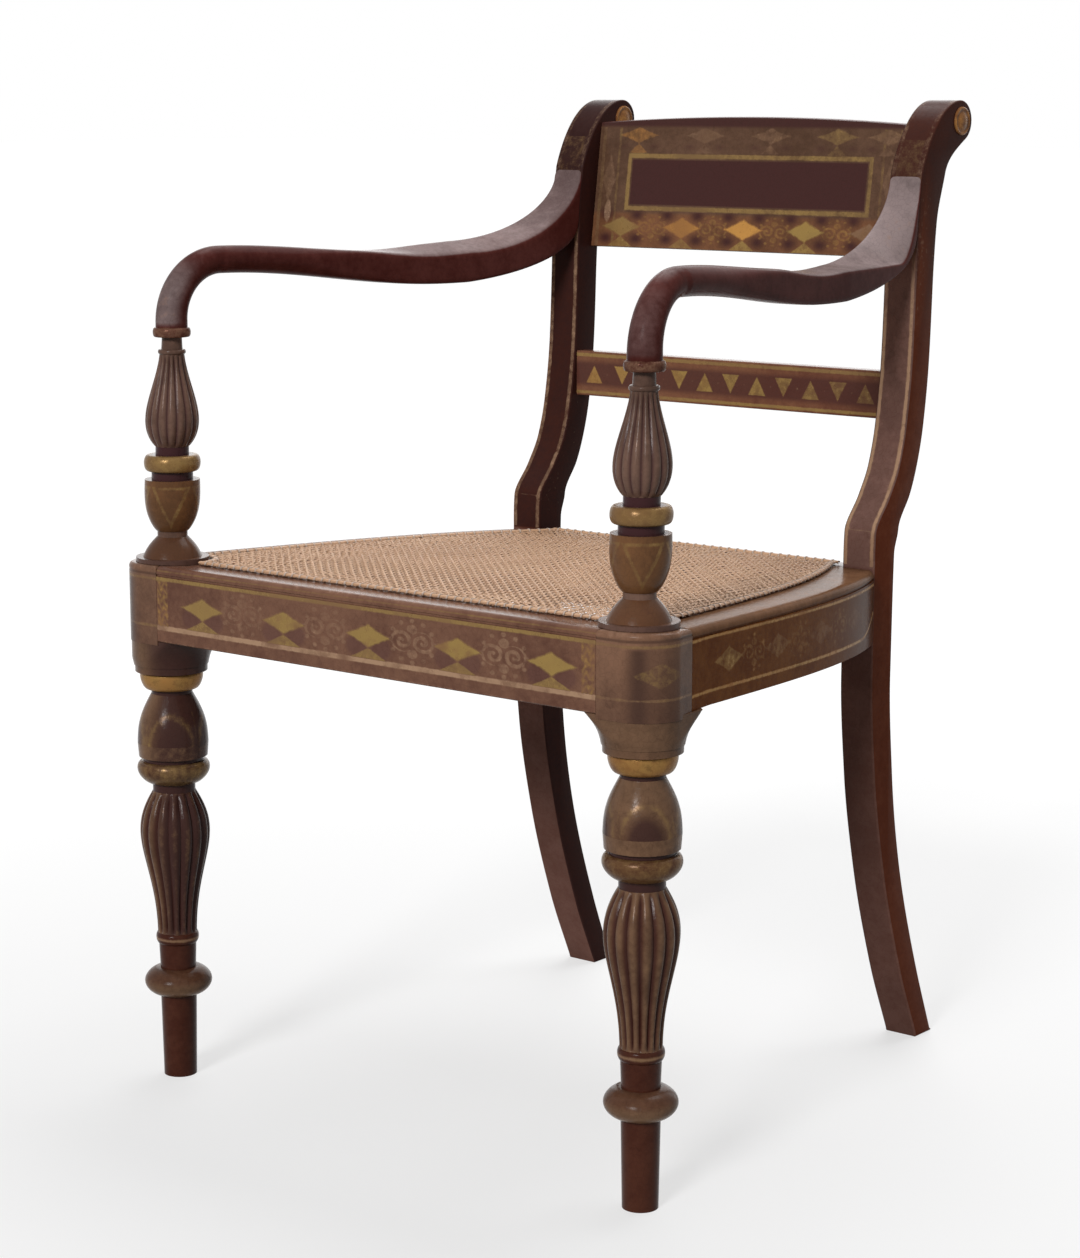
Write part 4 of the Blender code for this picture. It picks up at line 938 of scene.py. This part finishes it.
def support_skin(side):
    """The turning, its base cut to the fall of the seat and its axis leaning with height."""
    foot = SEAT_FRONT + SUPPORT_GAP
    z, radius, number, share = (rows[:, None] for rows in turned(SUPPORT_MOULDINGS, foot))
    turn = circle(LEG_ROUND)
    cut = reeded(share, turn) * (number == SUPPORT_VASE)
    r = radius - SUPPORT_REED * cut
    rise = np.clip((z - SEAT_FRONT) / (SUPPORT_TOP - SEAT_FRONT), 0, 1)
    d = r * np.sin(turn) + SUPPORT_LEAN * rise
    fall = np.where((number == DISC) & (share < 0.01), seat_z(d) + SUPPORT_GAP - z, 0.0)
    grid = placed(side * SUPPORT_X + r * np.cos(turn), d, z + fall)
    vee = np.abs(triangle(petals(turn) * 21, 38 - share * 44, 14, 32))
    leaf = by_moulding(number, BARE, {
        SUPPORT_CUP: np.clip(1.7 - vee, -1, 0.35),
        SUPPORT_RING: 0.6,
        SUPPORT_VASE: -0.1 - 0.8 * cut,
    })
    tone = by_moulding(number, 0.14, {SUPPORT_RING: 0.34, SUPPORT_CUP: 0.36})
    # The necks and the reeds' valleys are inked dark as painted shade in these recesses.
    neck_shade = dict.fromkeys(SUPPORT_NECKS, 1.0)
    shade = by_moulding(number, 0.0, {DISC: 0.4, BELL: 0.4, SUPPORT_VASE: 0.7 * cut, **neck_shade})
    pale = by_moulding(number, 0.0, dict.fromkeys((BELL, SUPPORT_CUP, SUPPORT_RING), 0.9))
    edge = by_moulding(number, 0.0, {SUPPORT_LIP: 0.3})
    return grid, {"gilt": leaf, "tone": tone, "ink": shade, "fade": pale, "wear": edge}


support_japan = japan(
    "support_japan",
    (0.102, 0.056, 0.040),
    (0.190, 0.108, 0.078),
    faded_and_sheen=(0.150, 0.068, 0.028),
)
for label, side in SIDES:
    support = skin(f"turned_support_{label}", [support_skin(side)], support_japan)
    fit(support, f"arm_support_{label}")

# Arms: bent and carved from one piece each, a round front end turned down on to the support, then
# a run that squares up and sweeps up the front of the post. The two aren't carved quite alike.
ARM_FOOT = 0.6486
ARM_BEND_FOOT = 0.6616
ARM_BEND = 0.050
ARM_HEIGHT = ARM_BEND_FOOT + ARM_BEND
ARM_WRIST = 0.0135
ARM_RUN = 0.0118
ARM_HALF = 0.0183
ARM_NARROW = 0.0128
ARM_BROAD = 0.01625
ARM_COLLAR = 0.0025
ARM_DIP = 0.0145
ARM_DIP_LONG = 0.220
ARM_SWELL_FROM = 0.080
ARM_LOW = ARM_HEIGHT - ARM_DIP - ARM_HALF
ARM_SWEEP = 0.135
ARM_SWEEP_TALL = 0.0645
ARM_UNDER_SWEEP = 0.190
ARM_UNDER_TALL = 0.0471
ARM_GAP = 0.0002
ARM_RING = 11
ARM_ROUND = 96
POST_X = 0.18575


def swept(depth, end, length, tall):
    """Rise of a quarter ellipse that leaves level a length before its end and stands upright there."""
    reach = np.clip((depth - end + length) / length, 0, 1)
    return tall * (1 - np.sqrt(1 - reach**2))


def arm_skin(side, inner, outer, rub_and_highlight, painted_sheen):
    """Round rings up the turned-down end and bend, then superellipses whose corners sharpen.

    Inner and outer are the two upper edges: the length of the sweep, and the level before it. Rub and
    highlight is how far the bend is rubbed by hands and paled by a painted highlight, and painted sheen
    how far the upper side is greyed by a painted sheen.
    """
    turn = circle(ARM_ROUND)
    c, s = np.cos(turn), np.sin(turn)
    end = post_front(ARM_LOW + ARM_UNDER_TALL + ARM_HALF) - ARM_GAP
    sweep_from = end - ARM_SWEEP
    level_from = SUPPORT_LEAN + ARM_BEND

    def middle(depth):
        """Half the spread of the two arms, which close in towards the posts."""
        return SUPPORT_X + (POST_X - SUPPORT_X) * (depth - SUPPORT_LEAN) / (end - SUPPORT_LEAN)

    arc = np.linspace(0, np.pi, ARM_RING)[:, None]
    ring = ARM_WRIST + ARM_COLLAR * np.sin(arc) ** 0.6
    ring_z = ARM_FOOT + 0.004 * (1 - np.cos(arc))
    foot = placed(SUPPORT_X + ring * c, SUPPORT_LEAN + ring * s, ring_z)
    share = np.linspace(0, 1, 30)[:-1, None]
    a = share * np.pi / 2
    r = ARM_WRIST + (ARM_RUN - ARM_WRIST) * share
    along = SUPPORT_LEAN + ARM_BEND * (1 - np.cos(a))
    bend_z = ARM_BEND_FOOT + ARM_BEND * np.sin(a) - r * s * np.sin(a)
    bend = placed(middle(along) + r * c, along + r * s * np.cos(a), bend_z)
    d = np.concatenate([
        np.linspace(level_from, sweep_from, 70),
        sweep_from + ARM_SWEEP * np.sin(np.linspace(0, np.pi / 2, 64)[1:]),
    ])[:, None]
    centre = ARM_HEIGHT - ARM_DIP * eased((d - level_from) / ARM_DIP_LONG)
    swell = np.clip((d - ARM_SWELL_FROM) / (sweep_from - ARM_SWELL_FROM), 0, 1) ** 2
    half = ARM_RUN + (ARM_HALF - ARM_RUN) * swell
    width = ARM_NARROW + (ARM_BROAD - ARM_NARROW) * swell
    power = 2 + 6 * eased((d - 0.12) / 0.16)
    u = np.sign(c) * np.abs(c) ** (2 / power)
    v = -np.sign(s) * np.abs(s) ** (2 / power)
    outward = (1 + u) / 2
    length = inner[0] + (outer[0] - inner[0]) * outward
    level = inner[1] + (outer[1] - inner[1]) * outward
    settled = eased((d - 0.200) / 0.100)
    top = centre + half + level * settled + swept(d, end, length, ARM_SWEEP_TALL - level)
    bottom = centre - half + swept(d, end, ARM_UNDER_SWEEP, ARM_UNDER_TALL)
    z = bottom + (top - bottom) * (v + 1) / 2
    near = np.clip((d - sweep_from) / ARM_SWEEP, 0, 1)
    follow = (post_front(z) - ARM_GAP - end) * near**2
    run = placed(middle(d) + width * u, d + follow, z)
    grid = np.concatenate([foot, bend, run])
    grid[..., 0] *= side
    # Painted light: a highlight on the front of the lower bend, one on the top of the bend, and a grey
    # sheen along the top of the run; the bend is also rubbed, as wear.
    bend_rub_and_highlight = rub_and_highlight * eased((0.4 - s) / 1.2) * (1 - eased((share - 0.3) / 0.6))
    shoulder_highlight = 0.45 * painted_sheen * eased((-s - 0.6) / 0.35) * eased((share - 0.45) / 0.4)
    crown = painted_sheen * eased((v - 0.80) / 0.16) * (0.45 + 0.5 * eased((d - 0.10) / 0.16))
    plain = 0 * (arc + c)
    fade_and_sheen = np.concatenate([plain, np.maximum(bend_rub_and_highlight * 0.8, shoulder_highlight), crown])
    edge = np.concatenate([plain + 0.25, 0.1 + bend_rub_and_highlight * 0.3, 0.08 + 0.1 * swell + 0 * c])
    edge = edge + 0.10 * np.clip(-s, 0, 1)
    leaf = np.where(np.arange(len(grid)) < ARM_RING, 0.3, BARE)[:, None]
    return grid, {"gilt": leaf, "tone": 0.1, "fade": fade_and_sheen, "wear": edge}


# Its faded colour is the grey of the painted sheen and highlights.
arm_japan = japan(
    "arm_japan",
    (0.066, 0.015, 0.012),
    (0.106, 0.031, 0.026),
    faded_and_sheen=(0.235, 0.180, 0.175),
    sheen=0.016,
)
ARM_EDGES = (
    ("left", -1, (0.130, -0.0065), (0.140, 0.0035), 0.85, 0.65),
    ("right", 1, (0.155, -0.0050), (0.030, -0.0080), 0.4, 1.0),
)
for label, side, inner, outer, rub_and_highlight, painted_sheen in ARM_EDGES:
    elbow = skin(f"swept_arm_{label}", [arm_skin(side, inner, outer, rub_and_highlight, painted_sheen)], arm_japan)
    fit(elbow, f"arm_{label}")

# Arm screws and plugs: an iron screw through each post into the arm, hidden by a turned wooden plug
# that is pared off a hair proud of the post's back.
SCREW_Z = ARM_LOW + ARM_UNDER_TALL + 0.004
PLUG_RADII = np.array((0.0062, 0.0062, 0.0060, 0.0050, 0.0030, 0.0006))[:, None]
PLUG_PROUD = np.array((-0.0070, 0.0, 0.0004, 0.0007, 0.0009, 0.0010))[:, None]
iron, iron_shader, iron_place = finish_of("screw_iron", 0.5)
rust = iron_place.cloud(420, 4).rise(0.45, 0.62)
tint = rust.between((0.20, 0.19, 0.18), (0.14, 0.060, 0.030))
tint.into(iron_shader, "Base Color")
(1 - rust * 0.8).into(iron_shader, "Metallic")
turn = circle(32)
for label, side in SIDES:
    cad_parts[f"arm_screw_{label}"].data.materials[0] = iron
    x, z = side * POST_X + PLUG_RADII * np.cos(turn), SCREW_Z + PLUG_RADII * np.sin(turn)
    grid = placed(x, post_rear(SCREW_Z) + PLUG_PROUD, z)
    plug = skin(f"plug_{label}", [(grid, {"gilt": BARE, "wear": 0.35})], plain_japan)
    fit(plug, f"arm_plug_{label}")

# Cane seat: strips of split rattan woven in six ways, pairs along and across and two single
# diagonals, pulled tight over the frame's inner edge.
CANE_FRONT = -0.004
CANE_LENGTH = 0.418
CANE_HALF_FRONT = 0.2575
CANE_HALF_BACK = 0.1595
CANE_PITCH = 0.0090
CANE_REACH = 0.75
CANE_SAMPLES = 4000
CANE_LIFT = 0.0017
CANE_HALF_THICK = 0.00028
PAIR_HALF = 0.00125
DIAGONAL = 0.7071


def cane_side(depth):
    """Half-width of the cane, hollowed at the front corners round the supports' bases."""
    straight = CANE_HALF_FRONT - (CANE_HALF_FRONT - CANE_HALF_BACK) * narrowed(depth)
    return np.minimum(straight, SUPPORT_X - np.sqrt(np.maximum(0, 0.035**2 - depth**2)))


def strands(name, paths, width, shades, finish):
    """Lens-shaped strips along paths of equal point counts, one row of the array for each strip."""
    ahead = np.gradient(paths, axis=1)
    aside = np.stack([-ahead[..., 1], ahead[..., 0], 0 * ahead[..., 0]], axis=-1)
    aside *= width / 2 / np.linalg.norm(aside, axis=-1)[..., None]
    up = np.array((0, 0, CANE_HALF_THICK))
    ring = np.stack([paths + aside, paths + up, paths - aside, paths - up], axis=2)
    count, length = paths.shape[:2]
    base = np.arange(count)[:, None, None] * length * 4
    i = base + np.arange(length - 1)[None, :, None] * 4
    j = np.arange(4)[None, None, :]
    k = (j + 1) % 4
    quads = np.stack([i + j, i + k, i + 4 + k, i + 4 + j], axis=-1).reshape(-1, 4)
    last = (length - 1) * 4
    ends = np.concatenate([base[:, 0] + np.arange(4)[::-1], base[:, 0] + last + np.arange(4)])
    way = winding(ring[0].reshape(-1, 3), quads[:last])
    faces = quads[:, ::way].tolist() + ends[:, ::way].tolist()
    return joined(name, ring.reshape(-1, 3), faces, {"tone": np.repeat(shades, length * 4)}, [finish])


cane, cane_shader, cane_place = finish_of("rattan_cane", 0.5)
silk = cane_place.cloud(60, 3)
pores = cane_place.cloud(1500, 2)
stain = cane_place.cloud(7, 4).rise(0.35, 0.7)
strip = cane_place.mark("tone").between((0.480, 0.270, 0.150), (0.620, 0.385, 0.235))
strip = (stain * 0.4).between(strip, (0.420, 0.225, 0.120))
strip = ((pores - 0.5) * 0.7 + silk * 0.3).between(strip, (0.660, 0.440, 0.290))
strip.into(cane_shader, "Base Color")
(0.42 + pores * 0.25).into(cane_shader, "Roughness")

luck = np.random.default_rng(5)


def cane_lines(name, starts, heading, width, layer):
    """One set of parallel strips as a mesh, each strip resampled to the same number of points."""
    s = np.linspace(0, 1, CANE_SAMPLES + 1)
    x = starts[:, 0, None] + heading[0] * CANE_REACH * s
    d = starts[:, 1, None] + heading[1] * CANE_REACH * s
    inside = (d > CANE_FRONT) & (d < CANE_FRONT + CANE_LENGTH) & (np.abs(x) < cane_side(d))
    keep = inside.sum(axis=1) > 40
    first = inside.argmax(axis=1)[keep] / CANE_SAMPLES
    last = 1 - inside[:, ::-1].argmax(axis=1)[keep] / CANE_SAMPLES
    steps = int(np.max(last - first) * CANE_REACH / CANE_PITCH * 2) + 1
    share = first[:, None] + (last - first)[:, None] * np.linspace(0, 1, steps)[None, :]
    px = starts[keep, 0, None] + heading[0] * CANE_REACH * share
    pd = starts[keep, 1, None] + heading[1] * CANE_REACH * share
    weave = layer * np.cos(np.pi * np.arange(steps)[None, :] + np.arange(len(px))[:, None] * np.pi)
    paths = placed(px, pd, seat_z(pd) + CANE_LIFT + weave)
    return strands(name, paths, width, luck.random(len(px)), cane)


columns = np.arange(-28, 29) * CANE_PITCH
along_x = np.sort(np.concatenate([columns - PAIR_HALF, columns + PAIR_HALF]))
rows_d = CANE_FRONT + np.arange(0, 47) * CANE_PITCH
across_d = np.sort(np.concatenate([rows_d - PAIR_HALF, rows_d + PAIR_HALF]))
slant = np.arange(-56, 57) * CANE_PITCH
sets = (
    ("cane_along", pairs(along_x, -0.02), (0, 1), 0.0022, 0.0005),
    ("cane_across", pairs(-0.30, across_d), (1, 0), 0.0022, -0.0005),
    ("cane_slant_right", pairs(slant - 0.02, -0.02), (DIAGONAL, DIAGONAL), 0.0018, 0.0003),
    ("cane_slant_left", pairs(slant + 0.02, -0.02), (-DIAGONAL, DIAGONAL), 0.0018, -0.0003),
)
for name, starts, heading, width, layer in sets:
    fit(cane_lines(name, starts, heading, width, layer), "cane_seat")

# Binder: a wide half-round cane laid over the holes along each side of the seat and tied down by a
# loop of fine cane at about every hole.
BINDER_WIDTH = 0.005
BINDER_TALL = 0.0016
BINDER_LIFT = 0.0022
LOOP_WIDTH = 0.0019
LOOP_HALF = 0.0034
LOOP_TALL = 0.0026
LOOP_LIFT = 0.0016


def laid(route, across, offset, lift):
    """Points over the seat beside a route, by their offsets across it and lifts above it."""
    flat = route[:, None, :] + across[:, None, :] * offset[None, :, None]
    return placed(flat[..., 0], flat[..., 1], seat_z(flat[..., 1]) + lift)


def binder_skin(route):
    """A half-round section carried along a route of (x, depth) points."""
    a = np.linspace(0, np.pi, 9)
    offset = np.append(np.cos(a), 0.0) * BINDER_WIDTH / 2
    lift = np.append(np.sin(a) * BINDER_TALL, 0.0) + BINDER_LIFT
    return laid(route, square_to(np.gradient(route, axis=0)), offset, lift)


edge_d = np.linspace(CANE_FRONT + 0.0055, CANE_FRONT + CANE_LENGTH - 0.0055, 90)
side_x = cane_side(edge_d) - BINDER_WIDTH / 2
front_d = CANE_FRONT + BINDER_WIDTH / 2
back_d = CANE_FRONT + CANE_LENGTH - BINDER_WIDTH / 2
front_half, back_half = cane_side(np.array((front_d, SEAT_DEPTH)))
routes = {
    "front": pairs(np.linspace(-front_half, front_half, 60), front_d),
    "back": pairs(np.linspace(-back_half, back_half, 40), back_d),
    "left": pairs(-side_x, edge_d),
    "right": pairs(side_x, edge_d),
}
for label, route in routes.items():
    binder = skin(f"edge_binder_{label}", [(binder_skin(route), {"tone": 0.5})], cane)
    fit(binder, f"binder_{label}")

reach = np.linspace(-1, 1, 7)
rise = LOOP_LIFT + LOOP_TALL * np.sqrt(1 - reach**2)
loops = []
for label, route in routes.items():
    holes = np.linspace(0.02, 0.98, {"front": 50, "back": 34}.get(label, 44)) * (len(route) - 1)
    first = np.minimum(holes.astype(int), len(route) - 2)
    ahead = route[first + 1] - route[first]
    spot = route[first] + ahead * (holes - first)[:, None]
    loops.append(laid(spot, square_to(ahead), reach * LOOP_HALF, rise))
tie_cane, tie_shader, tie_place = finish_of("tie_cane", 0.45)
fibre = tie_place.cloud(700, 3).between((0.50, 0.36, 0.27), (0.66, 0.55, 0.47))
fibre.into(tie_shader, "Base Color")
(0.35 + tie_place.cloud(900, 2) * 0.3).into(tie_shader, "Roughness")
loops = np.concatenate(loops)
ties = strands("binder_ties", loops, LOOP_WIDTH, luck.random(len(loops)), tie_cane)
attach(ties, "root")

# Studio: a wide pale floor, a white surround, a soft light from the front, a weak one from behind on
# the left, a broad lamp overhead, and a camera at the height of the back.
FLOOR_REACH = 40.0
LAMP_AIM = np.array((0, 0, 0.45))
floor_corners = FLOOR_REACH * np.array(((-1, -1, 0), (1, -1, 0), (1, 1, 0), (-1, 1, 0)))
floor_mesh = bpy.data.meshes.new("studio_floor")
floor_mesh.from_pydata(floor_corners.tolist(), [], [(0, 1, 2, 3)])
floor = bpy.data.objects.new("studio_floor", floor_mesh)
bpy.context.scene.collection.objects.link(floor)


def shown(tree):
    """1 for rays that see the background: from the camera, from a gloss or through glass."""
    path = tree.nodes.new("ShaderNodeLightPath")
    rays = [Wash(tree, path.outputs[f"Is {kind} Ray"]) for kind in ("Camera", "Glossy", "Transmission")]
    return (rays[0] + rays[1] + rays[2]).rise(0.0, 1.0)


paper, paper_shader, paper_place = finish_of("floor_paper", 0.9)
paper_shader.inputs["Base Color"].default_value = (0.32, 0.32, 0.32, 1)
paper_shader.inputs["Specular IOR Level"].default_value = 0.0
paper_shader.inputs["Emission Strength"].default_value = 0.85
# The floor's glow dims near the chair: this evens out the lamps' brighter light there and also paints a
# soft shadow round the chair.
away = paper_place.node("ShaderNodeVectorMath", {0: paper_place}, 1, operation="LENGTH").rise(0.2, 2.4)
glow = (shown(paper_place.tree) * (0.72 + away * 0.28)).between((0, 0, 0), (1, 1, 1))
glow.into(paper_shader, "Emission Color")
floor_mesh.materials.append(paper)

world = bpy.data.worlds.new("studio_surround")
world.use_nodes = True
bpy.context.scene.world = world
backing = world.node_tree.nodes["Background"]
backing.inputs["Color"].default_value = (1, 1, 1, 1)
strength = 0.16 + shown(world.node_tree) * 0.84
strength.into(backing, "Strength")


def lamp_at(name, kind, place, power, **settings):
    """A lamp at a place, turned towards the middle of the chair."""
    lamp = bpy.data.lights.new(name, kind)
    lamp.energy = power
    for key, setting in settings.items():
        setattr(lamp, key, setting)
    stand = bpy.data.objects.new(name, lamp)
    stand.location = place
    x, y, z = np.array(place) - LAMP_AIM
    stand.rotation_euler = (math.atan2(math.hypot(x, y), z), 0, math.atan2(y, x) + math.pi / 2)
    bpy.context.scene.collection.objects.link(stand)


lamp_at("front_light", "SUN", (0.6, -3.0, 2.0), 2.15, angle=math.radians(16))
lamp_at("rear_fill", "SUN", (-1.4, 3.0, 1.6), 0.7, angle=math.radians(60))
lamp_at("overhead_softbox", "AREA", (-0.1, 1.0, 2.75), 50, shape="RECTANGLE", size=2.4, size_y=1.3)

lens = bpy.data.cameras.new("camera")
lens.lens = 83.45
lens.sensor_width = 36
camera = bpy.data.objects.new("camera", lens)
camera.location = (1.5380, -1.9805, 0.8491)
camera.rotation_euler = (math.radians(90 - 10.37), 0, math.radians(38.77))
bpy.context.scene.collection.objects.link(camera)
bpy.context.scene.camera = camera
bpy.context.scene.view_settings.view_transform = "Standard"
